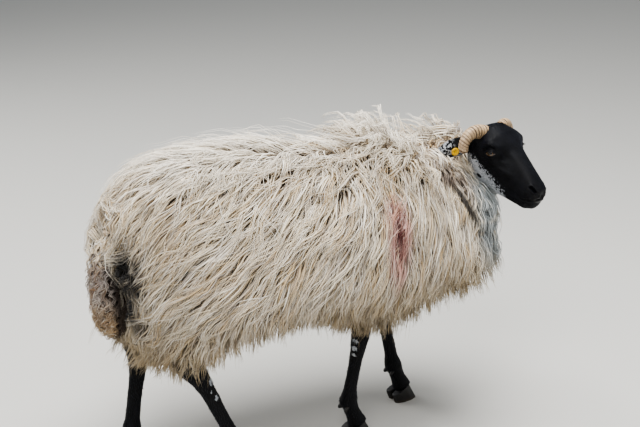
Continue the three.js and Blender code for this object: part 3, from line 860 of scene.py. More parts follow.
def wander(points, seed, scale=6.0):
    """A smooth random number from -1 to 1 for each place."""
    shift = Vector((seed * 7.1, seed * 3.3, seed * 1.7))
    return np.array([noise.noise(Vector(point) * scale + shift) for point in points]) * 1.6


def turned(directions, normals, angles):
    """Directions turned about their normals."""
    across = np.cross(normals, directions)
    c, s = np.cos(angles)[:, None], np.sin(angles)[:, None]
    return directions * c + across * s


def laid_flat(way, normals, share=1.0):
    """Directions with a share of their part along the normals taken away."""
    return unit(way - normals * np.sum(way * normals, 1, keepdims=True) * share)


PARTING = {"from": 0.25, "to": 0.38, "side": -0.03}  # ahead of the shoulder it bends to the right
PARTING_WIDTH = 0.05


def lie(points, normals, more=0.0):
    """Directions along the fleece; more sweeps them further backwards, except over the shoulder."""
    x, y, z = points.T
    low, middle, high = (np.interp(x, SWEEP["x"], SWEEP[k]) for k in SWEEP_HEIGHTS)
    at_low, at_middle, at_high = SWEEP_HEIGHTS.values()
    up = np.clip((z - at_middle) / (at_high - at_middle), 0, 1)
    down = np.clip((at_middle - z) / (at_middle - at_low), 0, 1)
    back = middle + (high - middle) * up + (low - middle) * down
    back = back + more * np.interp(x, (-0.05, 0.15), (1, 0.25))
    crest = np.interp(x, (PARTING["from"], PARTING["to"]), (0.0, PARTING["side"]))
    side = np.tanh((y - crest + 0.035 * wander(points, 5, 9)) / PARTING_WIDTH)
    out = side * np.clip(normals[:, 2], 0, 1)
    return laid_flat(np.stack([-back, out, np.full(len(points), -1.0)], 1), normals)

# %% Paths of the strands
HANG_SHORT = 0.019  # a hanging guide stops this far inside the frame, as its strands fan out past it
# hanging wool trails behind a walking ewe: a place along the body, and how far back for each step down
TRAIL = ((-0.46, 0.45), (0.10, 0.55), (0.25, 0.30), (0.40, 0.05))


def walk(roots, lengths, steps, rise, lifts, lean, spare, surfaces, flow):
    """Paths of locks over a surface, shape (locks, steps + 1, 3), the outward side along them, and
    the share of its length that each hanging lock has before it leaves the frame's outside."""
    inner, outer = surfaces
    here, out = nearest(inner, roots)
    paths, outs, reach = [here], [out], np.full(len(roots), steps, float)
    way = turned(flow(here, out), out, lean)
    for k in range(1, steps + 1):
        hang = np.clip((-out[:, 2:3] - 0.12) * 2.5, 0, 1)
        trail = np.interp(here[:, 0], *zip(*TRAIL))
        fall = np.stack([-trail, np.zeros(len(here)), np.full(len(here), -1.0)], 1)
        heading = unit(way * (1 - hang) + fall * hang)
        ahead = here + heading * (lengths / steps)[:, None]
        close, side = nearest(inner, ahead)
        lift = lifts * (1 - (1 - k / steps) ** rise)
        laid = close + side * lift[:, None]
        here_next = laid * (1 - hang) + (ahead + side * (lift / steps)[:, None]) * hang
        edge, edge_side = nearest(outer, here_next)
        beyond = np.sum((here_next - edge) * edge_side, 1) - spare
        hanging = (hang[:, 0] > 0.5) & (edge_side[:, 2] < -0.3)
        reach = np.where(hanging & (beyond > -HANG_SHORT) & (reach == steps), k - 0.5, reach)
        here_next -= edge_side * np.where(hanging, 0, np.clip(beyond, 0, None))[:, None]
        out = unit(0.4 * out + 0.6 * side)
        way = unit(0.5 * unit(here_next - here) + 0.5 * turned(flow(here_next, side), side, lean))
        here = here_next
        paths.append(here)
        outs.append(out)
    return np.stack(paths, 1), np.stack(outs, 1), reach / steps


def guides(roots, lengths, *rest):
    """Paths of locks, with the hanging ones cut back to end at the frame's outside."""
    share = walk(roots, lengths, *rest)[2]
    return walk(roots, lengths * share, *rest)[:2]


# %% [markdown]
# ## From guides to wool
# A lock is a bundle of strands that start apart, share one wave and draw together at the tip. Each
# strand is a closed solid: three-sided, thickest a third of the way along and drawn to a point. A
# strand stands for several fibres, as single ones are too fine to model. Its values tell the material
# how far along it is and which strand and lock it belongs to. Its map is a small patch at its root's
# place on an unwrap of the body. Geometry Nodes scatter the roots, but arrays make the strands, because
# each step of a path asks two surfaces where they are, and the strands share the path's own axes.

# %% Strands
PATCH = 0.003  # a strand's size on the map
SIDES_OF_STRAND = 3
WOOL_FLAT = 0.6  # a strand's thickness for its width
MAP_LOW, MAP_SIZE = 0.004, 0.985  # the map keeps clear of its square's edges


def body_map(points):
    """An unwrap of the body round its length: the angle about its middle line, and the place along it."""
    low, high = np.array(cad_box[0]), np.array(cad_box[1])
    angle = np.arctan2(points[:, 1], points[:, 2] - 0.45) / (2 * np.pi) + 0.5
    along = (points[:, 0] - low[0]) / (high[0] - low[0])
    return MAP_LOW + MAP_SIZE * np.stack([np.clip(angle, 0, 1), np.clip(along, 0, 1)], 1)


def side_and_up(lines, outs):
    """Axes at each point of each line: across it along the surface, and up off the surface."""
    along = unit(np.gradient(lines, axis=1))
    across = unit(np.cross(along, outs))
    return across, np.cross(across, along)


def strands(name, lines, outs, widths, flat, material, picks, spots, tip=0.06, root=0.55, fullest=0.3):
    """One mesh of strands along lines, shape (strands, steps + 1, 3)."""
    count, rows, _ = lines.shape
    t = np.linspace(0, 1, rows)
    across, up = side_and_up(lines, outs)
    taper = np.where(t < fullest, root + (1 - root) * np.sin(0.5 * np.pi * t / fullest), 1.0)
    fall = np.clip((t - fullest) / (1 - fullest), 0, 1)
    taper = taper * (1 - (1 - tip) * fall**1.8)
    angle = np.arange(SIDES_OF_STRAND) / SIDES_OF_STRAND * 2 * np.pi + 0.5 * np.pi
    radius = 0.5 * widths[:, None, None] * taper[None, :, None]
    side_x, side_y = np.cos(angle) * radius, np.sin(angle) * radius * flat
    ring = lines[:, :, None] + across[:, :, None] * side_x[..., None] + up[:, :, None] * side_y[..., None]
    each = rows * SIDES_OF_STRAND
    points = ring.reshape(-1, 3)
    quads = grid_faces(rows, SIDES_OF_STRAND)[:, ::-1]
    ends = np.array([[0, 1, 2], [each - 1, each - 2, each - 3]])
    base = (np.arange(count) * each)[:, None, None]
    faces = [(quads[None] + base).reshape(-1, 4), (ends[None] + base).reshape(-1, 3)]
    values = {"along": np.tile(np.repeat(t, SIDES_OF_STRAND), count)}
    values |= {key: np.repeat(value, each) for key, value in picks.items()}
    over = np.tile(np.linspace(0, 1, SIDES_OF_STRAND), rows)
    patch = np.stack([over, np.repeat(t, SIDES_OF_STRAND)], 1)
    layout = (spots[:, None] + PATCH * (patch - 0.5)[None]).reshape(-1, 2)
    return mesh_from(name, points, faces, [material], values, np.clip(layout, 0, 1))


def bundle(paths, outs, number, spread, gather, wave, turns, seed):
    """Lines of the strands in each lock: they start spread apart and gather by the tip, in one wave."""
    rng = np.random.default_rng(seed)
    locks, rows, _ = paths.shape
    t = np.linspace(0, 1, rows)[None, None, :, None]
    across, up = side_and_up(paths, outs)
    reach = np.sqrt(rng.random((locks, number))) * spread
    angle = rng.random((locks, number)) * 2 * np.pi
    off_x, off_y = reach * np.cos(angle), 0.45 * reach * np.sin(angle)
    close = 1 - (1 - gather) * t**1.3
    phase = rng.random((locks, 1)) * 2 * np.pi + rng.normal(0, 0.35, (locks, number))
    pace = turns[:, None] * (1 + rng.normal(0, 0.04, (locks, number)))
    swing = wave * (0.75 + 0.5 * rng.random((locks, number)))
    beat = phase[..., None, None] + 2 * np.pi * pace[..., None, None] * t
    grow = np.minimum(1, t * 2.2)
    side = off_x[..., None, None] * close + swing[..., None, None] * grow * np.sin(beat)
    height = off_y[..., None, None] * close + 0.4 * swing[..., None, None] * grow * np.cos(beat)
    stray = rng.normal(0, 0.0035, (locks, number))[..., None, None] * t**2
    lines = paths[:, None] + across[:, None] * (side + stray) + up[:, None] * height
    outs_all = np.broadcast_to(outs[:, None], lines.shape)
    return lines.reshape(-1, rows, 3), outs_all.reshape(-1, rows, 3)


def shade_numbers(rng, locks, each):
    """Random numbers that shade the wool: one shared by each lock, and one for each strand."""
    return {"lock": np.repeat(rng.random(locks), each), "strand": rng.random(locks * each)}


# %% [markdown]
# ## Coarse wool
# Hill wool is a long, strong fibre with little crimp, greasy near the skin and weathered at the tips. It
# isn't shiny like silk, but its scales scatter light along the edges, which sheen gives. Every lock and
# strand has its own shade, cream to beige. Roots are painted greyer, as painted shade deep in the fleece,
# and the top of the back is painted whiter, as painted light from above. Places on the body add the rest: a
# grey-brown ruff under the ear, a painted shadow along a dark parting across the neck, bluish-grey painted
# shade on the throat wool, tan skirts, dark breeches with painted shade in the gap beside the tail, and a
# faded smear of red marking fluid on the right shoulder.

# %% Wool colours
# the parting's and the throat's colours are painted shade, and the breech's is dark wool with painted shade
WOOL = {
    "cream": "#EBDEC6", "white": "#F7F1E5", "beige": "#D0B78F", "grey": "#ADA096", "ruff": "#66574C",
    "parting_shade": "#1E1713", "throat_shade": "#9DA4A6", "skirt": "#A28B60", "dull": "#756653", "breech_dark_and_shade": "#17110D",
    "raddle": "#C07C78", "raddle_core": "#5E2A27",
}


def body_place(*millimetres):
    """A place in the body's own frame as one in the model's."""
    return tuple(np.array(millimetres) * MM + SHIFT)

# %% Helpers for finishes
def blend_colour(tree, amount, below, above):
    """A mix of two colours; either may be a socket or a hex code."""
    mix = add_node(tree, "ShaderNodeMix", data_type="RGBA")
    for slot, value in ((0, amount), (6, below), (7, above)):
        if isinstance(value, bpy.types.NodeSocket):
            tree.links.new(value, mix.inputs[slot])
        else:
            mix.inputs[slot].default_value = linear(value) if isinstance(value, str) else value
    return mix.outputs[2]


def object_place(tree):
    """The shaded point's place in its object's own axes, in metres."""
    return add_node(tree, "ShaderNodeTexCoord").outputs["Object"]


def parts_of(tree, place):
    return add_node(tree, "ShaderNodeSeparateXYZ", {"Vector": place}).outputs


def stored(tree, name):
    """A value that each point of the mesh carries, such as how far along its strand it is."""
    return add_node(tree, "ShaderNodeAttribute", attribute_name=name).outputs["Fac"]


def bend_light(tree, shader, height, strength, distance):
    """Bump from a height, which stands for a depth in millimetres."""
    inputs = {"Height": height, "Strength": strength, "Distance": distance * MM}
    bump = add_node(tree, "ShaderNodeBump", inputs)
    tree.links.new(bump.outputs[0], shader.inputs["Normal"])


def ramp_between(tree, value, low, high):
    """0 at low rising smoothly to 1 at high; low may be above high."""
    node = add_node(tree, "ShaderNodeMapRange", {"Value": value}, interpolation_type="SMOOTHSTEP")
    node.inputs["From Min"].default_value, node.inputs["From Max"].default_value = low, high
    return node.outputs[0]


def patch_at(tree, place, centre, reach, tilt=0.0, edge=(1.25, 0.55)):
    """1 inside a soft-edged egg round a place, with half sizes in millimetres, turned about Y by tilt."""
    mapping = add_node(tree, "ShaderNodeMapping", {"Vector": place}, vector_type="TEXTURE")
    mapping.inputs["Location"].default_value = body_place(*centre)
    mapping.inputs["Rotation"].default_value = (0, math.radians(tilt), 0)
    mapping.inputs["Scale"].default_value = [r * MM for r in reach]
    size = add_node(tree, "ShaderNodeVectorMath", {0: mapping.outputs[0]}, operation="LENGTH")
    return ramp_between(tree, size.outputs["Value"], *edge)


def noise_of(tree, place, millimetres, detail=2.0, roughness=0.5, stretch=(1, 1, 1)):
    """Noise with features of a real size; stretch divides its fineness along an axis."""
    mapping = add_node(tree, "ShaderNodeMapping", {"Vector": place})
    mapping.inputs["Scale"].default_value = [1 / v for v in stretch]
    settings = {"Scale": 1 / (millimetres * MM), "Detail": detail, "Roughness": roughness}
    return add_node(tree, "ShaderNodeTexNoise", {"Vector": mapping.outputs[0]} | settings).outputs["Fac"]

# %% Marks on the wool
WOOL_MARKS = (
    # colour, centre and half sizes in the body's frame, tilt, strength
    ("ruff", (240, -140, 585), (44, 60, 40), 0, 0.90),
    ("ruff", (284, -130, 548), (30, 60, 34), 0, 0.85),
    # painted shade: bluish grey on the white wool under the jaw and down the front of the chest
    ("throat_shade", (352, -112, 465), (80, 105, 130), 0, 0.90),
    # painted shadow: the dark line of the parting, where the neck's wool meets the shoulder's
    ("parting_shade", (256, -168, 524), (10, 50, 74), -30, 0.95),
    # the breech: dark wool, and painted shade in the gap between the tail and the thigh
    ("breech_dark_and_shade", (-460, -86, 458), (38, 50, 96), 0, 1.0),
)
RADDLE = (
    # colour, centre and half sizes, strength: a pale smear, and its core where the fluid soaked in
    ("raddle", (60, -210, 495), (32, 60, 108), 0.66),
    ("raddle_core", (62, -212, 512), (9, 60, 60), 1.0),
)
RADDLE_TILT = 4


def mark_wool(tree, colour, place):
    """Adds the fleece's markings to a colour, with the painted shade of the parting, the throat and the
    breech.
    """
    low = ramp_between(tree, parts_of(tree, place)["Z"], 0.43, 0.27)
    stain = reckon(tree, "MULTIPLY", low, noise_of(tree, place, 90), clamp=True)
    colour = blend_colour(tree, stain, colour, WOOL["skirt"])
    patchy = ramp_between(tree, noise_of(tree, place, 24, 3.0), 0.25, 0.50)
    for name, centre, reach, tilt, strength in WOOL_MARKS:
        amount = reckon(tree, "MULTIPLY", patch_at(tree, place, centre, reach, tilt), strength)
        # the parting's painted shadow is not broken up by the patchy noise
        broken = amount if name == "parting_shade" else reckon(tree, "MULTIPLY", amount, patchy)
        colour = blend_colour(tree, broken, colour, WOOL[name])
    smear = ramp_between(tree, noise_of(tree, place, 9, 2.0, 0.6, (1, 1, 4)), 0.22, 0.52)
    for name, centre, reach, strength in RADDLE:
        amount = reckon(tree, "MULTIPLY", patch_at(tree, place, centre, reach, RADDLE_TILT), strength)
        colour = blend_colour(tree, reckon(tree, "MULTIPLY", amount, smear), colour, WOOL[name])
    return colour


def shade_of_strand(tree, strand, times):
    """Another random number from 0 to 1 for each strand."""
    return reckon(tree, "FRACT", reckon(tree, "MULTIPLY", strand, times))

# %% Wool finish
WOOL_FINISH = {"Roughness": 0.85, "Sheen_Weight": 0.08, "Sheen_Roughness": 0.6}


def wool_material():
    """Cream wool, painted whiter on top as light from above, greyer roots as painted shade, duller below, a
    shade for each lock and strand, and the marks.
    """
    material, tree, shader = new_material("coarse_hill_wool", **WOOL_FINISH)
    place = object_place(tree)
    along, strand, lock = (stored(tree, name) for name in ("along", "strand", "lock"))
    broad = ramp_between(tree, noise_of(tree, place, 130, 2.0), 0.36, 0.66)
    colour = blend_colour(tree, reckon(tree, "MULTIPLY", broad, 0.35), WOOL["cream"], WOOL["beige"])
    colour = blend_colour(tree, ramp_between(tree, lock, 0.35, 1.0), colour, WOOL["beige"])
    white = reckon(tree, "MULTIPLY", ramp_between(tree, strand, 0.35, 0.8), 0.85)
    colour = blend_colour(tree, white, colour, WOOL["white"])
    dusty = reckon(tree, "MULTIPLY", ramp_between(tree, shade_of_strand(tree, strand, 7.0), 0.5, 1.0), 0.7)
    colour = blend_colour(tree, dusty, colour, WOOL["grey"])
    # painted shade: greyer towards the roots, deep in the fleece
    colour = blend_colour(tree, ramp_between(tree, along, 0.40, -0.1), colour, WOOL["grey"])
    low = parts_of(tree, place)["Z"]
    dull = reckon(tree, "MULTIPLY_ADD", shade_of_strand(tree, strand, 13.0), 0.55, 0.20)
    dull = reckon(tree, "MULTIPLY", dull, ramp_between(tree, low, 0.46, 0.26))
    colour = blend_colour(tree, dull, colour, WOOL["dull"])
    # painted light: whiter along the top of the back, where the light from above falls
    painted_top_light = reckon(tree, "MULTIPLY", ramp_between(tree, low, 0.62, 0.68), 0.65)
    colour = blend_colour(tree, painted_top_light, colour, WOOL["white"])
    tree.links.new(mark_wool(tree, colour, place), shader.inputs["Base Color"])
    return material


wool = wool_material()
print("wool:", len(wool.node_tree.nodes), "nodes")

# %% [markdown]
# ## The fleece
# Several coats lie over each other. Short broad strands, hardly gathered, close the ground. Locks that
# end in points lie over them, and a few longer ones sweep across. Tufts stand up on the withers and the
# crest, and fine single wisps break the outline. One coat would look combed, as all its locks would have
# one length. A coat is dealt out to its pieces like cards, so that each piece stays small and covers the
# whole body.

# %% Coats of wool
COATS = {
    "under_wool": {
        "pieces": 3, "length": (90, 150), "steps": 5, "strands": 7, "spread": 20,
        "gather": 0.90, "width": (3.8, 5.8), "wave": 3.5, "turns": (0.6, 1.5), "lift": (0.60, 0.93),
        "lean": 0.22, "loose": 0.15, "spare": 2, "sweep": 0.0, "seed": 31,
    },
    "over_wool": {
        "pieces": 4, "length": (125, 215), "steps": 9, "strands": 8, "spread": 14,
        "gather": 0.45, "width": (1.5, 3.0), "wave": 5.2, "turns": (1.1, 2.5), "lift": (0.70, 1.05),
        "lean": 0.28, "loose": 0.4, "spare": 6, "sweep": 0.0, "seed": 37,
    },
    "long_locks": {
        "pieces": 1, "length": (170, 270), "steps": 11, "strands": 5, "spread": 9,
        "gather": 0.45, "width": (1.3, 2.2), "wave": 8.0, "turns": (1.0, 2.0), "lift": (0.98, 1.12),
        "lean": 0.24, "loose": 0.55, "spare": 9, "sweep": 0.55, "seed": 43,
    },
    "standing_tufts": {
        "pieces": 1, "length": (70, 120), "steps": 8, "strands": 6, "spread": 8,
        "gather": 0.60, "width": (1.2, 2.2), "wave": 4.5, "turns": (0.6, 1.5), "lift": (1.2, 1.7),
        "lean": 0.40, "loose": 1.0, "spare": 14, "sweep": -0.55, "seed": 39,
    },
    "wisps": {
        "pieces": 1, "length": (120, 230), "steps": 8, "strands": 2, "spread": 9,
        "gather": 1.1, "width": (1.1, 1.8), "wave": 7.0, "turns": (0.8, 2.0), "lift": (0.95, 1.35),
        "lean": 0.50, "loose": 1.0, "spare": 16, "sweep": 0.3, "seed": 41,
    },
}
FULL_DEPTH = 0.040  # the fleece's depth where locks have their full length
EAR_GAP = 0.011
WITHERS = {"at": 0.188, "reach": 0.048}
# how much higher locks stand on the back's ridge, on the tufts and on the full chest, in metres
RISE = {"ridge": 0.006, "tuft": 0.038, "chest": 0.016}
# how much further out of the frame than the rest they may stray
STRAY = {"ridge": 0.005, "tuft": 0.030}

# %% Growing one coat
def on_tufts(points):
    """1 where the wool stands up: over the withers and on the crest behind the horns."""
    x, _, z = points.T
    withers = np.exp(-(((x - WITHERS["at"]) / WITHERS["reach"]) ** 2)) * smooth_step(0.56, 0.60, z)
    crest = smooth_step(0.26, 0.31, x) * smooth_step(0.39, 0.365, x) * smooth_step(0.55, 0.60, z)
    return np.maximum(withers, crest)


def on_ridge(points):
    """1 on the back line and the neck's crest, falling to 0 down the sides."""
    normals = nearest(outside, points)[1]
    return smooth_step(0.72, 0.96, normals[:, 2])


def clear_of_ears(paths):
    """Which locks keep a finger's width from the ears, so that none lies across them."""
    places = paths.reshape(-1, 3)
    gaps = [away_from(hair_ground[f"ear_{n}"], places) for n in SIDES]
    return np.min(gaps, 0).reshape(paths.shape[:2]).min(1) > EAR_GAP


def grow(name, coat):
    """The pieces of one coat: guides from its roots, strands round the guides, dealt out to pieces."""
    rng = np.random.default_rng(coat["seed"])
    roots, lean = wool_roots[name], coat["lean"]
    count = len(roots)
    depth = away_from(outside, roots)
    lengths = rng.uniform(*coat["length"], count) * MM * np.clip(depth / FULL_DEPTH, 0.5, 1)
    ridge, tuft = on_ridge(roots) * coat["loose"], on_tufts(roots) * coat["loose"]
    lifts = depth * rng.uniform(*coat["lift"], count) * (1 + 0.2 * ridge)
    lifts += (RISE["ridge"] * ridge + RISE["tuft"] * tuft) * rng.random(count)
    lifts += RISE["chest"] * smooth_step(0.30, 0.38, roots[:, 0]) * smooth_step(0.58, 0.52, roots[:, 2])
    leans = wander(roots, coat["seed"]) * lean + rng.normal(0, lean * 0.5 + 0.25 * ridge, count)
    leans = np.clip(leans, -0.5 - 0.7 * ridge, 0.5 + 0.7 * ridge)
    spare = coat["spare"] * MM * rng.random(count)
    spare = spare + (STRAY["ridge"] * ridge + STRAY["tuft"] * tuft) * rng.random(count)
    flow = functools.partial(lie, more=coat["sweep"])
    paths, outs = guides(roots, lengths, coat["steps"], 2.2, lifts, leans, spare, (ground, outside), flow)
    if name != "under_wool":
        clear = clear_of_ears(paths)
        paths, outs, count = paths[clear], outs[clear], int(clear.sum())
    pace, each = rng.uniform(*coat["turns"], count), coat["strands"]
    waves, spread = coat["wave"] * MM, coat["spread"] * MM
    lines, sides = bundle(paths, outs, each, spread, coat["gather"], waves, pace, coat["seed"])
    widths = rng.uniform(*coat["width"], len(lines)) * MM
    picks = shade_numbers(rng, count, each)
    spots = body_map(lines[:, 0])
    made = []
    for i in range(coat["pieces"]):
        mine = np.arange(len(lines)) % coat["pieces"] == i
        own = {key: value[mine] for key, value in picks.items()}
        shape = lines[mine], sides[mine], widths[mine], WOOL_FLAT
        made.append(strands(f"{name}_{i + 1}", *shape, wool, own, spots[mine]))
    print(name, len(lines), "strands,", triangles_of(made), "triangles in", len(made), "pieces")
    return made

# %% The fleece
on_tuft = on_tufts(wool_roots["standing_tufts"]) > 0.45
wool_roots["standing_tufts"] = wool_roots["standing_tufts"][on_tuft]
fleece = []
for name, coat in COATS.items():
    fleece += grow(name, coat)

# %% [markdown]
# ### Throat wool
# Under the jaw the fleece begins on the head itself: soft wool that hangs from the cheeks and the
# throat over the neck, painted bluish grey for the shade under the jaw. Its roots are a share of the head's
# own. Guides that follow the neck would lie too flat here, so each lock falls in one bend from a formula.

# %% Throat wool
THROAT = {"front": 100, "line": (60, -40), "slope": -0.42, "locks": 560, "strands": 3, "steps": 7}
THROAT_LENGTH = {"front": 20, "more_behind": 46}


def throat_wool(seed=73):
    rng = np.random.default_rng(seed)
    own = to_head(hair_roots["head"])
    line = THROAT["line"][1] + THROAT["slope"] * (own[:, 0] - THROAT["line"][0])
    line = line + 7 * wander(hair_roots["head"], seed, 40)
    zone = np.flatnonzero((own[:, 0] < THROAT["front"]) & (own[:, 2] < line))
    number = min(len(zone), int(THROAT["locks"] * LOOSE))
    roots, normals = nearest(hair_ground["head"], hair_roots["head"][rng.choice(zone, number, replace=False)])
    own = to_head(roots)
    back = smooth_step(THROAT["front"], 20, own[:, 0])
    length = THROAT_LENGTH["front"] + THROAT_LENGTH["more_behind"] * back
    length = (length * rng.uniform(0.7, 1.2, number) * MM)[:, None, None]
    t = np.linspace(0, 1, THROAT["steps"] + 1)[None, :, None]
    way = np.array((-0.35, 0.0, -0.25)) @ HEAD_AXES.T + normals * 0.55
    way = unit(way + rng.normal(0, 0.12, (number, 3)))
    paths = roots[:, None] - normals[:, None] * MM + length * way[:, None] * (t - 0.35 * t * t)
    paths = paths + length * np.array((0.0, 0.0, -0.85)) * t**1.6
    outs = np.broadcast_to(normals[:, None], paths.shape)
    pace, each = rng.uniform(0.5, 1.3, number), THROAT["strands"]
    lines, sides = bundle(paths, outs, each, 5 * MM, 0.6, 2.6 * MM, pace, seed)
    picks = shade_numbers(rng, number, each)
    widths = rng.uniform(1.1, 2.1, len(lines)) * MM
    return strands("throat_wool", lines, sides, widths, WOOL_FLAT, wool, picks, body_map(lines[:, 0]))


fleece.append(throat_wool())
print("throat wool:", triangles_of(fleece[-1:]), "triangles")

# %% [markdown]
# ### The tail's wool
# The tail is shaggy with short crimped wool, stained brown and yellow. The same guides and bundles make
# it, with tighter waves, and one change: its wool stands out all round the dock before it falls.

# %% Tail wool
TAIL_WOOL = {"dark": "#33261E", "brown": "#94795F", "tan": "#C4A67E", "grey": "#B0A5A0", "pale": "#DDD2C2"}


def tail_material():
    """Brown and grey crimped wool, darker towards the breech as dark wool and painted shade by the thigh,
    cream like the fleece at the dock.
    """
    material, tree, shader = new_material("crimped_tail_wool", **WOOL_FINISH)
    along, strand, lock = (stored(tree, name) for name in ("along", "strand", "lock"))
    parts = parts_of(tree, object_place(tree))
    colour = blend_colour(tree, ramp_between(tree, lock, 0.2, 0.8), TAIL_WOOL["grey"], TAIL_WOOL["brown"])
    low = ramp_between(tree, reckon(tree, "MULTIPLY_ADD", lock, 0.05, parts["Z"]), 0.45, 0.38)
    colour = blend_colour(tree, low, colour, TAIL_WOOL["tan"])
    pale = reckon(tree, "MULTIPLY", ramp_between(tree, strand, 0.55, 1.0), 0.8)
    colour = blend_colour(tree, pale, colour, TAIL_WOOL["pale"])
    dark = ramp_between(tree, shade_of_strand(tree, strand, 5.0), 0.6, 1.3)
    near_root = ramp_between(tree, along, 0.45, -0.1)
    # darker towards the body: dark wool, and painted shade in the gap between the tail and the thigh
    breech_side_dark_and_shade = reckon(tree, "MULTIPLY", ramp_between(tree, parts["X"], -0.450, -0.430), 0.95)
    for amount in (dark, near_root, breech_side_dark_and_shade):
        colour = blend_colour(tree, amount, colour, TAIL_WOOL["dark"])
    dock_line = reckon(tree, "MULTIPLY_ADD", lock, 0.04, parts["Z"])
    cream = blend_colour(tree, strand, WOOL["beige"], WOOL["white"])
    colour = blend_colour(tree, ramp_between(tree, dock_line, 0.51, 0.54), colour, cream)
    tree.links.new(colour, shader.inputs["Base Color"])
    return material


def tail_lie(points, normals):
    out = unit(normals * (1, 1, 0) + (1e-6, 0, 0))
    return laid_flat(out * 0.35 + (0, 0, -1.0), normals, share=0.8)


TAIL = {
    "length": (45, 80), "steps": 12, "rise": 1.6, "lift": (0.6, 1.2), "lean": 0.4, "spare": 0.010,
    "strands": 5, "spread": 4, "gather": 0.40, "wave": 5.8, "turns": (2.0, 3.0), "width": (1.5, 2.6),
}


def tail_coat(roots, seed=43, wave_seed=47):
    rng, count, each = np.random.default_rng(seed), len(roots), TAIL["strands"]
    lengths = rng.uniform(*TAIL["length"], count) * MM
    lifts = away_from(tail_outside, roots) * rng.uniform(*TAIL["lift"], count)
    leans = rng.normal(0, TAIL["lean"], count)
    surfaces = tail_ground, tail_outside
    course = TAIL["steps"], TAIL["rise"], lifts, leans, TAIL["spare"], surfaces, tail_lie
    paths, outs = guides(roots, lengths, *course)
    pace = rng.uniform(*TAIL["turns"], count)
    waves, spread = TAIL["wave"] * MM, TAIL["spread"] * MM
    lines, sides = bundle(paths, outs, each, spread, TAIL["gather"], waves, pace, wave_seed)
    widths = rng.uniform(*TAIL["width"], len(lines)) * MM
    picks = shade_numbers(rng, count, each)
    finish, spots = tail_material(), body_map(lines[:, 0])
    return strands("tail_wool", lines, sides, widths, WOOL_FLAT, finish, picks, spots)


tail_fleece = tail_coat(tail_roots)
print("tail wool:", triangles_of([tail_fleece]), "triangles")

# %% [markdown]
# ## Short black hair
# Face, ears and legs have short flat hair, black with a cold bluish shine and splashes of white. Most of
# it is bump in the skin's own finish; small tufts lie over it so that every edge is broken by real hair.
# Skin and tufts read the same markings: a white cheek and throat behind the jaw, mottled ears, white
# flecks on the knees. The cheek's border is a line across the head's own frame, roughened by noise, as a
# painted mask would have to be painted again whenever the head changes.

# %% Markings of the hair
HAIR = {
    "black": "#050507", "shine": "#14151B", "white": "#D6D8DB", "dull_white": "#8F949B", "bare": "#08070A",
}
HAIR_FINISH = {
    "Sheen_Weight": 0.04, "Sheen_Roughness": 0.4, "Sheen_Tint": linear("#8C96C8"), "Specular_IOR_Level": 0.22,
}
CHEEK_LINE = {"at": (60, -14), "slope": -0.72}  # where black gives way to white, in the head's frame
CHEEK_SPOT = ((56, -32, -46), (7, 30, 5))
NOSE = ((193, 0, -14), (17, 26, 17))  # the bare part: its middle and half sizes
LEG_FLECKS = (
    ((40, -66, 231), (9, 14, 8)), ((38, -65, 214), (8, 14, 9)), ((36, -65, 200), (8, 14, 6)),
    ((204, 54, 180), (8, 16, 11)), ((205, 54, 161), (5, 12, 5)),
    ((-311, -108, 244), (8, 14, 13)), ((-300, -108, 206), (6, 14, 12)), ((-312, -106, 222), (4, 12, 6)),
    ((-405, 80, 232), (7, 14, 9)), ((-388, 82, 205), (5, 12, 7)),
)


def head_place(tree, place):
    """Places in the head's own frame, in millimetres."""
    mapping = add_node(tree, "ShaderNodeMapping", {"Vector": place}, vector_type="TEXTURE")
    mapping.inputs["Location"].default_value = HEAD_MIDDLE * MM + SHIFT
    angles = [math.radians(HEAD_PLACE[k]) for k in ("roll", "pitch", "turn")]
    mapping.inputs["Rotation"].default_value = angles
    mapping.inputs["Scale"].default_value = (MM, MM, MM)
    return mapping.outputs[0]


def egg(tree, place, centre, reach, edge=(1.15, 0.75)):
    """1 inside an egg in the same units as the place."""
    off = add_node(tree, "ShaderNodeVectorMath", {0: place, 1: centre}, operation="SUBTRACT")
    over = add_node(tree, "ShaderNodeVectorMath", {0: off.outputs[0], 1: reach}, operation="DIVIDE")
    size = add_node(tree, "ShaderNodeVectorMath", {0: over.outputs[0]}, operation="LENGTH")
    return ramp_between(tree, size.outputs["Value"], *edge)


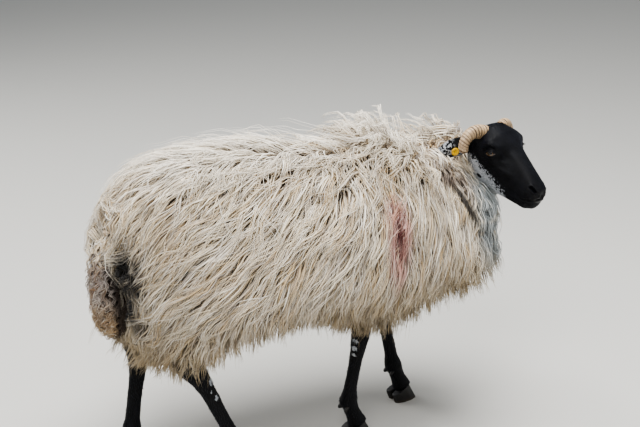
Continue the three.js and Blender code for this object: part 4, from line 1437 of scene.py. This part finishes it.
def white_of_hair(tree, place):
    """How white the hair is at a place, from 0 to 1."""
    own = head_place(tree, place)
    parts = parts_of(tree, own)
    aside = reckon(tree, "ABSOLUTE", parts["Y"])
    (line_x, line_z), slope = CHEEK_LINE["at"], CHEEK_LINE["slope"]
    line = reckon(tree, "MULTIPLY_ADD", parts["X"], slope, line_z - slope * line_x)
    below = reckon(tree, "SUBTRACT", line, parts["Z"])
    rough = reckon(tree, "MULTIPLY_ADD", noise_of(tree, place, 6.5, 4.0, 0.7), 110.0, -55.0)
    cheek = ramp_between(tree, reckon(tree, "ADD", below, rough), -1.0, 2.0)
    # the cheek ends before the ears, the lips and the neck, and below the eye
    head_only = ramp_between(tree, aside, 68, 64)
    low = reckon(tree, "ADD", parts["Z"], rough)
    for value, start, end in ((parts["X"], 128, 116), (parts["Z"], -120, -110), (low, -10, -18)):
        head_only = reckon(tree, "MULTIPLY", head_only, ramp_between(tree, value, start, end))
    spot = reckon(tree, "SUBTRACT", 1.0, egg(tree, own, *CHEEK_SPOT))
    white = reckon(tree, "MULTIPLY", reckon(tree, "MULTIPLY", cheek, head_only), spot)
    by_the_head = egg(tree, own, (0, 0, 0), (150, 150, 150))
    on_ear = ramp_between(tree, noise_of(tree, place, 5.5, 2.0, 0.55), 0.49, 0.54)
    on_ear = reckon(tree, "MULTIPLY", ramp_between(tree, aside, 68, 82), on_ear)
    white = reckon(tree, "MAXIMUM", white, reckon(tree, "MULTIPLY", on_ear, by_the_head))
    specks = noise_of(tree, place, 3.6, 2.0, 0.6, (1, 1, 1.6))
    for centre, reach in LEG_FLECKS:
        fleck = egg(tree, place, body_place(*centre), [r * MM for r in reach], (1.3, 0.1))
        fleck = ramp_between(tree, reckon(tree, "MULTIPLY_ADD", specks, 2.4, fleck), 1.85, 1.95)
        white = reckon(tree, "MAXIMUM", white, fleck)
    return white, own

# %% Finishes of hair and skin
def hair_material():
    material, tree, shader = new_material("short_black_hair", Roughness=0.42, **HAIR_FINISH)
    strand = stored(tree, "strand")
    colour = blend_colour(tree, reckon(tree, "MULTIPLY", strand, 0.8), HAIR["black"], HAIR["shine"])
    white = blend_colour(tree, strand, HAIR["white"], HAIR["dull_white"])
    colour = blend_colour(tree, white_of_hair(tree, object_place(tree))[0], colour, white)
    tree.links.new(colour, shader.inputs["Base Color"])
    return material


def hairy_skin_material():
    """Hair that lies too flat to model is fine streaky bump; nose and lips are bare, pebbled and moist."""
    material, tree, shader = new_material("close_black_hair_on_skin", **HAIR_FINISH)
    place = object_place(tree)
    white, own = white_of_hair(tree, place)
    mottle = ramp_between(tree, noise_of(tree, place, 14, 2.0), 0.4, 0.7)
    colour = blend_colour(tree, reckon(tree, "MULTIPLY", mottle, 0.5), HAIR["black"], HAIR["shine"])
    streaks = noise_of(tree, own, 1400, 3.0, 0.65, (4.5, 1, 1))
    pale = blend_colour(tree, ramp_between(tree, streaks, 0.40, 0.65), HAIR["dull_white"], HAIR["white"])
    colour = blend_colour(tree, white, colour, pale)
    bare = egg(tree, own, *NOSE, (1.2, 0.8))
    colour = blend_colour(tree, bare, colour, HAIR["bare"])
    tree.links.new(colour, shader.inputs["Base Color"])
    rough = reckon(tree, "MULTIPLY_ADD", bare, -0.22, 0.58)
    tree.links.new(rough, shader.inputs["Roughness"])
    pebbles = add_node(tree, "ShaderNodeTexVoronoi", {"Vector": own, "Scale": 0.55}).outputs["Distance"]
    height = reckon(tree, "MULTIPLY_ADD", pebbles, reckon(tree, "MULTIPLY", bare, 0.7), streaks)
    bend_light(tree, shader, height, 0.35, 0.7)
    return material


def woolly_skin_material():
    """The ground between the locks: wool seen end on, in shadow."""
    material, tree, shader = new_material("wool_ground", Roughness=0.95)
    place = object_place(tree)
    fibres = noise_of(tree, place, 4, 3.0, 0.7, (1, 1, 3))
    colour = blend_colour(tree, fibres, WOOL["grey"], WOOL["beige"])
    colour = mark_wool(tree, colour, place)
    tail_part = patch_at(tree, place, (-470, -6, 420), (46, 60, 118))
    colour = blend_colour(tree, tail_part, colour, TAIL_WOOL["dark"])
    tree.links.new(colour, shader.inputs["Base Color"])
    bend_light(tree, shader, fibres, 0.8, 3)
    return material


skin.data.materials.clear()
for material in (woolly_skin_material(), hairy_skin_material()):
    skin.data.materials.append(material)
black_hair = hair_material()
skin.data.polygons.foreach_set("material_index", skin_finishes)
print("skin finishes:", np.bincount(skin_finishes))

# %% [markdown]
# ### Tufts
# A tuft is one small three-sided solid of three rings, bent over so that it lies along the lie of the
# hair: towards the muzzle on the face, down and back on the cheeks, to the tip of the ear, and down the
# legs. Single hairs would need fifty times as many. Tufts are shortest on the muzzle and longest on the
# poll and throat, and none grow on nose, lips or lid rims.

# %% Short hair
def from_slit(own, side):
    """Distance from an eye's slit, for places in the head's frame."""
    middle, slit, up, _ = eye_axes(side)
    return slit_distance(*((own - middle) @ np.stack([slit, up], 1)).T)


def head_hair(points, normals):
    """Directions, lengths and widths of the head's tufts, and which are kept."""
    own = to_head(points)
    x, y, z = own.T
    cheek = smooth_step(70, 40, x) * smooth_step(12, -12, z)
    crown = smooth_step(60, 35, x) * smooth_step(25, 42, z)
    aside = np.sign(y) * (0.25 * crown + 0.1)
    way = np.stack([1 - 1.5 * cheek - 0.2 * crown, aside, -0.25 - 0.9 * cheek], 1)
    outside = np.min([from_slit(own, side) for side in SIDES.values()], 0)
    by_eye = np.exp(-((outside / 7) ** 2)) * (np.abs(y) > 25)
    length = 5.6 + 5 * cheek + 7 * crown - 2.6 * smooth_step(130, 180, x) - 2.2 * by_eye
    length += 9 * smooth_step(40, 5, x) * smooth_step(10, -40, z)
    nose = np.linalg.norm((own - NOSE[0]) / NOSE[1], axis=1) < 1.0
    lips = beside(own, MOUTH) < 2.6
    lid = (np.abs(y) > 25) & (outside < 1.7)
    holes = beside(own, NOSTRIL) < 4.2
    keep = ~(nose | lips | lid | holes) & (x > -8)
    return way @ HEAD_AXES.T, length, np.full(len(points), 0.95), keep


def ear_hair(side):
    def hair(points, normals):
        along, across, _ = ear_axes(side)
        own = to_head(points) - ear_root(side)
        t = own @ along / EAR["length"]
        way = along + across * 0.25 * np.sign(own @ across)[:, None]
        return way @ HEAD_AXES.T, 5.5 - 1.5 * t, np.full(len(points), 0.85), t > 0.05

    return hair


def leg_hair(points, normals):
    way = np.tile((0.0, 0.0, -1.0), (len(points), 1)) + normals * 0.05
    top = smooth_step(0.20, 0.30, points[:, 2])
    heel = np.exp(-(((points[:, 2] - 0.075) / 0.02) ** 2)) * (normals[:, 0] < -0.2)
    foot = smooth_step(0.075, 0.045, points[:, 2])
    return way, 7.5 + 6 * top + 3 * heel - 3.5 * foot, np.full(len(points), 1.2), points[:, 2] < 0.36

# %% Tufts of short hair
def wrap_map(points, axes, middle, reach):
    """An unwrap round an axis: the angle about it, and the place along it."""
    own = (points - middle) @ axes
    angle = np.arctan2(own[:, 1], own[:, 2]) / (2 * np.pi) + 0.5
    along = (own[:, 0] - reach[0]) / (reach[1] - reach[0])
    return np.clip(MAP_LOW + MAP_SIZE * np.stack([angle, along], 1), 0, 1)


UPRIGHT = np.array(((0, 1, 0), (0, 0, 1), (1, 0, 0)), float)
HAIR_MAP = {"head": (HEAD_AXES, from_head((0, 0, -10)), (-0.02, 0.20))}
for name, side in SIDES.items():
    axes = HEAD_AXES @ np.stack(ear_axes(side), 1)
    HAIR_MAP[f"ear_{name}"] = (axes, from_head(ear_root(side)), (-0.01, 0.10))
for name, leg in LEGS.items():
    HAIR_MAP[f"leg_{name}"] = (UPRIGHT, np.array(body_place(leg["x"], leg["y"], 0)), (0.0, 0.42))


def tufts(part, lie_of, seed, flat=0.55):
    rng = np.random.default_rng(seed)
    roots, normals = nearest(hair_ground[part], hair_roots[part])
    way, length, width, keep = lie_of(roots, normals)
    roots, normals, way, length, width = (v[keep] for v in (roots, normals, way, length, width))
    angles = rng.normal(0, 0.25, len(way)) + 0.5 * wander(roots, seed, 45)
    way = turned(laid_flat(way, normals), normals, angles)
    length = length * rng.uniform(0.7, 1.25, len(way)) * MM
    rise = rng.uniform(0.10, 0.26, len(way))
    t = np.array((0.0, 0.5, 1.0))[None, :, None]
    lines = roots[:, None] - normals[:, None] * 0.5 * MM + way[:, None] * (length[:, None, None] * t)
    lines = lines + normals[:, None] * (length * rise)[:, None, None] * (1.9 * t - 0.9 * t * t)
    outs = np.broadcast_to(normals[:, None], lines.shape)
    widths = width * rng.uniform(0.8, 1.3, len(way)) * MM
    spots = wrap_map(roots, *HAIR_MAP[part])
    picks = {"strand": rng.random(len(way))}
    shape = lines, outs, widths, flat
    return strands(f"{part}_hair", *shape, black_hair, picks, spots, fullest=0.5, root=0.7)


hair = [tufts("head", head_hair, 53)]
hair += [tufts(f"ear_{name}", ear_hair(side), 59) for name, side in SIDES.items()]
hair += [tufts(f"leg_{name}", leg_hair, 61) for name in LEGS]
print("hair:", [len(made.data.polygons) // 8 for made in hair], "tufts")

# %% [markdown]
# ## Horns
# A ewe's horn grows in rings, one thick ridge for each spell of good grazing, on a curl that bends a
# little with every ring. That is a rule, so Geometry Nodes make it: a line gets its place from a formula
# of how far along it is, and a round profile sweeps along it with a radius from the same formula. Lathes
# and sculpting would hide the rule. The inputs are the horn's sizes, and the two horns differ only in
# their side.

# %% Horn tree
HORN = {
    "Base": 16.4, "Tip": 11.4, "Bend": 38.0, "Rise": math.radians(24), "Turn": math.radians(118),
    "Back": 12.0, "Ridges": 15.0, "Ridge": 0.55, "Ahead": 27.0, "Aside": 26.0, "Up": 39.0,
}
HORN_STEPS, HORN_SIDES = 260, 56
TIP_ROUND = 0.10  # the last part of the horn, which closes to a worn tip
HORN_OVAL = 0.86  # the section's height for its width


def horn_tree():
    sizes = dict.fromkeys((*HORN, "Side", "Seed"), "Float")
    tree, start = new_rule("ridged_horn", sizes | {"Material": "Material"})

    def m(operation, *values):
        return reckon(tree, operation, *values)

    line = step(tree, "ResampleCurve", Curve=step(tree, "CurvePrimitiveLine"), Count=HORN_STEPS)
    t = add_node(tree, "GeometryNodeSplineParameter").outputs["Factor"]
    angle = m("SUBTRACT", start["Rise"], m("MULTIPLY", start["Turn"], t))
    rise_cos, rise_sin = m("COSINE", start["Rise"]), m("SINE", start["Rise"])
    x = m("SUBTRACT", start["Ahead"], m("MULTIPLY", start["Back"], m("SINE", m("MULTIPLY", t, math.pi))))
    y = m("MULTIPLY_ADD", start["Bend"], m("SUBTRACT", rise_sin, m("SINE", angle)), start["Aside"])
    z = m("MULTIPLY_ADD", start["Bend"], m("SUBTRACT", m("COSINE", angle), rise_cos), start["Up"])
    y = m("MULTIPLY", y, start["Side"])
    place = add_node(tree, "ShaderNodeCombineXYZ", {"X": x, "Y": y, "Z": z}).outputs[0]
    line = step(tree, "SetPosition", Geometry=line, Position=place)
    # rings: each is a swell with a sharp groove after it, and no two are alike
    drift = m("MULTIPLY_ADD", t, 7.0, start["Seed"])
    uneven = add_node(tree, "ShaderNodeTexNoise", {"W": drift}, noise_dimensions="1D").outputs["Fac"]
    even = m("MULTIPLY", t, start["Ridges"])
    ring = m("FRACT", m("MULTIPLY_ADD", m("SUBTRACT", uneven, 0.5), 0.9, even))
    swell = m("POWER", m("SINE", m("MULTIPLY", ring, math.pi)), 0.4)
    fine = m("SINE", m("MULTIPLY", t, 330.0))
    ridge = m("MULTIPLY", start["Ridge"], m("MULTIPLY_ADD", swell, 2.0, -1.2))
    relief = m("MULTIPLY_ADD", fine, 0.10, ridge)
    into_tip = m("DIVIDE", m("SUBTRACT", 1.0, t), TIP_ROUND)
    close = m("SQRT", m("SUBTRACT", 1.0, m("POWER", m("SUBTRACT", 1.0, m("MINIMUM", into_tip, 1.0)), 2.0)))
    width = m("MULTIPLY_ADD", t, m("SUBTRACT", start["Tip"], start["Base"]), start["Base"])
    radius = m("MAXIMUM", m("MULTIPLY", m("ADD", width, relief), close), 0.05)
    level = {"Curve": line, "Normal": (1.0, 0.0, 0.0)}
    line = add_node(tree, "GeometryNodeSetCurveNormal", level, mode="FREE").outputs[0]
    for name, value in (("along", t), ("ring", ring)):
        line = step(tree, "StoreNamedAttribute", Geometry=line, Name=name, Value=value)
    oval = step(tree, "CurvePrimitiveCircle", Resolution=HORN_SIDES, Radius=1.0)
    oval = step(tree, "Transform", Geometry=oval, Scale=(HORN_OVAL, 1.0, 1.0))
    horn = step(tree, "CurveToMesh", Curve=line, Profile_Curve=oval, Scale=radius, Fill_Caps=True)
    # small dents break the perfect tube
    dent = add_node(tree, "ShaderNodeTexNoise", {"Scale": 0.09, "Detail": 2.0}).outputs["Fac"]
    depth = m("MULTIPLY_ADD", dent, 2.2, -1.1)
    push = add_node(tree, "ShaderNodeVectorMath", {0: step(tree, "InputNormal"), 3: depth}, operation="SCALE")
    horn = step(tree, "SetPosition", Geometry=horn, Offset=push.outputs[0])
    horn = step(tree, "RealizeInstances", Geometry=horn)
    horn = step(tree, "SetMaterial", Geometry=horn, Material=start["Material"])
    add_node(tree, "NodeGroupOutput", {"Geometry": horn})
    return tree

# %% Horn finish
HORN_IOR = 1.54


def horn_material():
    """Keratin: dry, satin, honey at the base and paler out, darker in the grooves, and long streaks."""
    material, tree, shader = new_material("dry_ridged_horn", IOR=HORN_IOR)
    place = object_place(tree)
    along, ring = stored(tree, "along"), stored(tree, "ring")
    colour = blend_colour(tree, ramp_between(tree, along, 0.0, 0.9), "#BFA07A", "#A58B6E")
    streaks = noise_of(tree, place, 2.2, 3.0, 0.6)
    colour = blend_colour(tree, ramp_between(tree, streaks, 0.45, 0.75), colour, "#D9C3A0")
    blotch = ramp_between(tree, noise_of(tree, place, 16, 2.0), 0.48, 0.68)
    colour = blend_colour(tree, reckon(tree, "MULTIPLY", blotch, 0.45), colour, "#8C7256")
    swell = reckon(tree, "SINE", reckon(tree, "MULTIPLY", ring, math.pi))
    groove = reckon(tree, "SUBTRACT", 1.0, swell)
    # darker in the grooves between the rings
    groove_dark = reckon(tree, "MULTIPLY", ramp_between(tree, groove, 0.22, 0.80), 0.90)
    colour = blend_colour(tree, groove_dark, colour, "#33261C")
    tree.links.new(colour, shader.inputs["Base Color"])
    tree.links.new(reckon(tree, "MULTIPLY_ADD", groove, 0.25, 0.45), shader.inputs["Roughness"])
    bend_light(tree, shader, streaks, 0.35, 0.5)
    return material

# %% Both horns
def made_by(name, tree, inputs, source=None):
    """A plain mesh object from a node tree with its inputs set."""
    made = add_object(name, source or bpy.data.meshes.new(name))
    modifier = made.modifiers.new("rule", "NODES")
    modifier.node_group = tree
    for key, value in inputs.items():
        set_input(modifier, key, value)
    finish_modifiers(made)
    made.data.name = name
    return made


HORN_TREE, horn_finish = horn_tree(), horn_material()
horns = {}
for name, side in SIDES.items():
    inputs = HORN | {"Side": side, "Seed": side * 3.0, "Material": horn_finish}
    horn = made_by(f"ridged_horn_{name}", HORN_TREE, inputs)
    set_points(horn, from_head(points_of(horn)))
    smooth_shaded(horn)
    horns[name] = horn
    print("horn", name, np.round(points_of(horn).min(0), 3), "frame", np.round(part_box(f"horn_{name}")[0], 3))

# %% [markdown]
# ## Eyes
# The eyeball is a full ball with the clear cornea's bulge in front. A sheep's iris is amber to brown, and
# its pupil is a wide level slot. The pattern can't lie on the model's own axes, as the eye looks sideways,
# so each point stores its place in the eye's own frame and the finish is painted from that. A wet coat
# gives the highlight.

# %% Eyeballs
IRIS = {"radius": 8.6, "pupil_half": 5.4, "pupil_rise": 3.1, "raised": 0.8}
CORNEA = {"bulge": 0.7, "reach": 0.62}  # its reach is an angle from the eye's axis, in radians


def eyeball_material():
    finish = {"Roughness": 0.22, "Coat_Weight": 1.0, "Coat_Roughness": 0.03}
    material, tree, shader = new_material("wet_eyeball", **finish)

    def m(operation, *values):
        return reckon(tree, operation, *values)

    slit, up = stored(tree, "slit_way"), stored(tree, "up_way")
    radius = m("SQRT", m("ADD", m("POWER", slit, 2.0), m("POWER", up, 2.0)))
    turn = {"X": m("MULTIPLY", m("ARCTAN2", up, slit), 5.0), "Y": m("MULTIPLY", radius, 0.12)}
    turn = add_node(tree, "ShaderNodeCombineXYZ", turn).outputs[0]
    rays = {"Vector": turn, "Scale": 2.2, "Detail": 3.0}
    rays = add_node(tree, "ShaderNodeTexNoise", rays, noise_dimensions="2D").outputs["Fac"]
    colour = blend_colour(tree, rays, "#2C1D10", "#6B5032")
    rim, edge = IRIS["radius"] * 0.7, IRIS["radius"]
    colour = blend_colour(tree, ramp_between(tree, radius, rim, edge), colour, "#2A1B10")
    colour = blend_colour(tree, ramp_between(tree, radius, edge, edge + 0.8), colour, "#3A2C25")
    # the pupil is a slot with round ends: the sum of two third powers stays under 1 inside it
    a = m("POWER", m("ABSOLUTE", m("DIVIDE", slit, IRIS["pupil_half"])), 3.0)
    above = m("SUBTRACT", up, IRIS["raised"])
    b = m("POWER", m("ABSOLUTE", m("DIVIDE", above, IRIS["pupil_rise"])), 3.0)
    pupil = ramp_between(tree, m("ADD", a, b), 1.15, 0.8)
    colour = blend_colour(tree, pupil, colour, "#050506")
    tree.links.new(colour, shader.inputs["Base Color"])
    return material


def eyeball(name, side, material, rows=64, sides=72):
    middle, slit, up, look = eye_axes(side)
    polar = np.linspace(0, np.pi, rows + 1)[1:-1]
    polar, turn = np.meshgrid(polar, circle(sides), indexing="ij")
    radius = EYE["radius"] + CORNEA["bulge"] * np.exp(-((polar / CORNEA["reach"]) ** 4))
    flat = radius * np.sin(polar)
    a, b, h = flat * np.cos(turn), flat * np.sin(turn), radius * np.cos(polar)
    rings = middle + a[..., None] * slit + b[..., None] * up + h[..., None] * look
    made = lofted(name, from_head(rings), flip=side < 0)
    own = (to_head(points_of(made)) - middle) @ np.stack([slit, up], 1)
    for key, value in zip(("slit_way", "up_way"), own.T):
        made.data.attributes.new(key, "FLOAT", "POINT").data.foreach_set("value", value.astype(np.float32))
    made.data.materials.append(material)
    return made


eye_finish = eyeball_material()
eyes = {name: eyeball(f"eyeball_{name}", side, eye_finish) for name, side in SIDES.items()}
print("eyeballs:", [len(eye.data.polygons) for eye in eyes.values()], "faces")

# %% [markdown]
# ### Lashes and whiskers
# Lashes shade the upper lid, and a few whiskers stand on lips and chin. Each is a bent line of four
# points; Geometry Nodes turn the lines into tapered hairs. A line for each hair keeps the count and the
# bend easy to change, where modelled hairs would have to be drawn again.

# %% Lashes and whiskers
HAIR_SIDES = 4
HAIR_THICKNESS = 0.42


def hair_tree():
    """Lines to tapered hairs. Inputs: Thickness in metres and Material."""
    inputs = {"Geometry": "Geometry", "Thickness": "Float", "Material": "Material"}
    tree, start = new_rule("tapered_hairs", inputs)
    line = step(tree, "MeshToCurve", Mesh=start["Geometry"])
    t = add_node(tree, "GeometryNodeSplineParameter").outputs["Factor"]
    radius = reckon(tree, "MULTIPLY", start["Thickness"], reckon(tree, "MULTIPLY_ADD", t, -0.45, 0.5))
    profile = step(tree, "CurvePrimitiveCircle", Resolution=HAIR_SIDES, Radius=1.0)
    hairs = step(tree, "CurveToMesh", Curve=line, Profile_Curve=profile, Scale=radius, Fill_Caps=True)
    hairs = step(tree, "RealizeInstances", Geometry=hairs)
    hairs = step(tree, "SetMaterial", Geometry=hairs, Material=start["Material"])
    add_node(tree, "NodeGroupOutput", {"Geometry": hairs})
    return tree


HAIR_TREE = hair_tree()


def line_mesh(name, lines):
    """A mesh of bare edges along lines, shape (lines, points, 3)."""
    count, rows, _ = lines.shape
    first = (np.arange(count)[:, None] * rows + np.arange(rows - 1)).ravel()
    mesh = bpy.data.meshes.new(name)
    mesh.from_pydata(lines.reshape(-1, 3).tolist(), np.stack([first, first + 1], 1).tolist(), [])
    return mesh


def lashes(side, number=34, length=8.5, seed=67):
    rng = np.random.default_rng(seed)
    middle, slit, up, look = eye_axes(side)
    a = np.linspace(-0.86, 0.9, number) * SLIT["half"]
    b = SLIT["upper"] * np.sqrt(1 - (a / SLIT["half"]) ** 2) + 0.5
    h = np.sqrt(EYE["radius"] ** 2 - np.minimum(a * a + b * b, 140)) + SLIT["rim"]
    t = np.linspace(0, 1, 4)[None, :]
    size = length * rng.uniform(0.7, 1.1, number)[:, None]
    a, b, h, fan = (v[:, None] for v in (a, b, h, a / SLIT["half"]))
    along = [a + size * 0.35 * fan * t, b + size * (0.55 * t - 0.55 * t * t), h + size * 0.8 * t]
    return middle + sum(v[..., None] * axis for v, axis in zip(along, (slit, up, look)))


def whiskers(number=46, seed=71):
    rng = np.random.default_rng(seed)
    own = to_head(hair_roots["head"])
    zone = (own[:, 0] > 150) & (own[:, 2] < -6) & (beside(own, NOSTRIL) > 5)
    chosen = rng.choice(np.flatnonzero(zone), number, replace=False)
    roots, normals = nearest(hair_ground["head"], hair_roots["head"][chosen])
    own, side = to_head(roots), normals @ HEAD_AXES
    t = np.linspace(0, 1, 4)[None, :, None]
    size = rng.uniform(9, 20, number)[:, None, None]
    droop = np.array((0.25, 0, -0.9))
    return own[:, None] + size * (side[:, None] * 0.75 * t + droop * 0.45 * t * t)


fine_lines = np.concatenate([lashes(-1), lashes(1), whiskers()])
fine_hair = made_by(
    "lashes_and_whiskers", HAIR_TREE, {"Thickness": HAIR_THICKNESS * MM, "Material": black_hair},
    line_mesh("fine_lines", from_head(fine_lines)),
)
print("lashes and whiskers:", len(fine_lines), "hairs,", len(fine_hair.data.polygons), "faces")

# %% [markdown]
# ## Hooves
# Each foot has two claws of dark horn and two small dewclaws behind the fetlock. The frame's claws have
# the right size and a flat sole but few sides. They could be modelled again, but voxels make them fine
# and relaxing rounds them, while the sole is held flat. The rings that grow round a claw are bump, as
# they are finer than its mesh.

# %% Hooves and dewclaws
CLAW_VOXEL = 1.5 * MM
SOLE = {"edge": 1.6, "lifted": 0.7}  # points below the edge belong to the sole, which relaxing lifted
DEWCLAW = {"up": 77, "back": 9, "aside": 9.0, "radius": 5.8, "length": 11}


def hoof_material():
    material, tree, shader = new_material("dark_hoof_horn", IOR=HORN_IOR)
    place = object_place(tree)
    grime = noise_of(tree, place, 7, 3.0, 0.6)
    colour = blend_colour(tree, ramp_between(tree, grime, 0.4, 0.75), "#0B0908", "#221C17")
    earth = reckon(tree, "MULTIPLY", ramp_between(tree, parts_of(tree, place)["Z"], 0.010, 0.0), 0.5)
    colour = blend_colour(tree, earth, colour, "#4A3E30")
    tree.links.new(colour, shader.inputs["Base Color"])
    tree.links.new(reckon(tree, "MULTIPLY_ADD", grime, 0.3, 0.32), shader.inputs["Roughness"])
    bend_light(tree, shader, noise_of(tree, place, 3.2, 2.0, 0.5, (7, 7, 1)), 0.5, 1.0)
    return material


def claw(node, material):
    made = remeshed(joined_copy(node.replace("hoof", "claw"), [node]), CLAW_VOXEL)
    relax(made, 5)
    points = points_of(made)
    z = points[:, 2]
    flat = np.maximum(z - SOLE["lifted"] * MM, 0) * 0.5
    points[:, 2] = np.where(z < SOLE["edge"] * MM, flat, z)
    set_points(made, points)
    smooth_shaded(made)
    made.data.materials.append(material)
    return made


def dewclaw(leg_name, side):
    """A blunt bud of horn behind the fetlock."""
    leg = LEGS[leg_name]
    t = np.linspace(0, 1, 12)[:, None]
    turn = circle(20)[None, :]
    radius = DEWCLAW["radius"] * np.sqrt(1 - (0.98 * t) ** 4)
    x = leg["x"] - DEWCLAW["back"] - DEWCLAW["length"] * t + radius * 0.4 * np.cos(turn)
    y = leg["y"] + side * (DEWCLAW["aside"] + 4.5 * t) + radius * 0.9 * np.sin(turn)
    z = DEWCLAW["up"] - 4 * t + radius * 1.1 * np.cos(turn)
    rings = np.stack(np.broadcast_arrays(x, y, z), -1) * MM + SHIFT
    return lofted(f"dewclaw_{leg_name}_{'outer' if side * leg['y'] > 0 else 'inner'}", rings)


hoof_finish = hoof_material()
claws = {node: claw(node, hoof_finish) for node in frame["nodes"] if node.startswith("hoof_")}
dewclaws = [dewclaw(name, side) for name in LEGS for side in (-1, 1)]
for made in dewclaws:
    made.data.materials.append(hoof_finish)
print("claws:", len(claws), "dewclaws:", len(dewclaws))

# %% [markdown]
# ## Ear tag
# A button tag of yellow polyurethane: two moulded discs and a pin through the ear. Discs and a cylinder
# would leave sharp corners. The tag is the same all round its pin, so it is made as on a lathe: a profile
# of radius and height swept round. The plastic is slightly glossy, scuffed and a little grubby.

# %% Ear tag
TAG = {"radius": 8.5, "thick": 2.4, "pin": 2.2, "along": 0.5, "u": -0.1, "proud": 3.0, "round": 0.7}
EAR_HALF = 2.5  # half the ear's thickness with its hair, under the discs
TAG_EDGE = (0.4, 0.8, 1.2, math.pi / 2)  # angles at which a disc's rounded edge has points


def tag_profile():
    """Radius and height along the pin, from the back disc's face to the front one's."""
    inner = EAR_HALF + TAG["proud"]
    outer, r, k = inner + TAG["thick"], TAG["radius"], TAG["round"]
    half = [(0.05, outer - 0.5), (2.6, outer - 0.5), (3.1, outer + 0.1), (r - 1.9, outer), (r - k, outer)]
    half += [(r - k * (1 - math.sin(v)), outer - k * (1 - math.cos(v))) for v in TAG_EDGE]
    half += [(r, inner + k), (r - k, inner), (TAG["pin"] + 0.8, inner), (TAG["pin"], inner - 0.8)]
    return [(radius, -height) for radius, height in half] + half[::-1]


def tag_material():
    material, tree, shader = new_material("moulded_yellow_polyurethane", IOR=1.5)
    place = object_place(tree)
    grime = noise_of(tree, place, 5, 4.0, 0.65)
    colour = blend_colour(tree, ramp_between(tree, grime, 0.52, 0.8), "#E3B20F", "#8E6C1C")
    tree.links.new(colour, shader.inputs["Base Color"])
    tree.links.new(reckon(tree, "MULTIPLY_ADD", grime, 0.35, 0.2), shader.inputs["Roughness"])
    bend_light(tree, shader, noise_of(tree, place, 0.8, 3.0, 0.7), 0.25, 0.2)
    return material


def button_tag(side, sides=56):
    along, across, out = ear_axes(side)
    centre = ear_point(side, TAG["along"], TAG["u"], 0.0)
    turn = circle(sides)[:, None]
    spoke = np.cos(turn) * along + np.sin(turn) * across
    rings = np.array([centre + height * out + radius * spoke for radius, height in tag_profile()])
    made = lofted("ear_button_tag", from_head(rings), flip=True)
    made.data.materials.append(tag_material())
    return made


tag = button_tag(SIDES["right"])

# %% [markdown]
# ## Assembly
# Everything rides on the one root, as the sheep stands still. The skin takes the place of all the flesh
# nodes at once, and horns, eyes, claws and tag each take the place of their own node.

# %% Assembly
slots = {
    "fleece": fleece, "tail_wool": [tail_fleece], "black_hair": [*hair, fine_hair],
    "horn": horns.values(), "eye": eyes.values(), "hoof": [*claws.values(), *dewclaws], "tag": [tag],
}
for slot, pieces in slots.items():
    for piece in pieces:
        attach(piece, "root")
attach(skin, "root")
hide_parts(*FLESH)
for name in SIDES:
    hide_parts(f"horn_{name}")
    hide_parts(f"eye_{name}")
for node, piece in claws.items():
    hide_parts(node)
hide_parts("ear_tag")
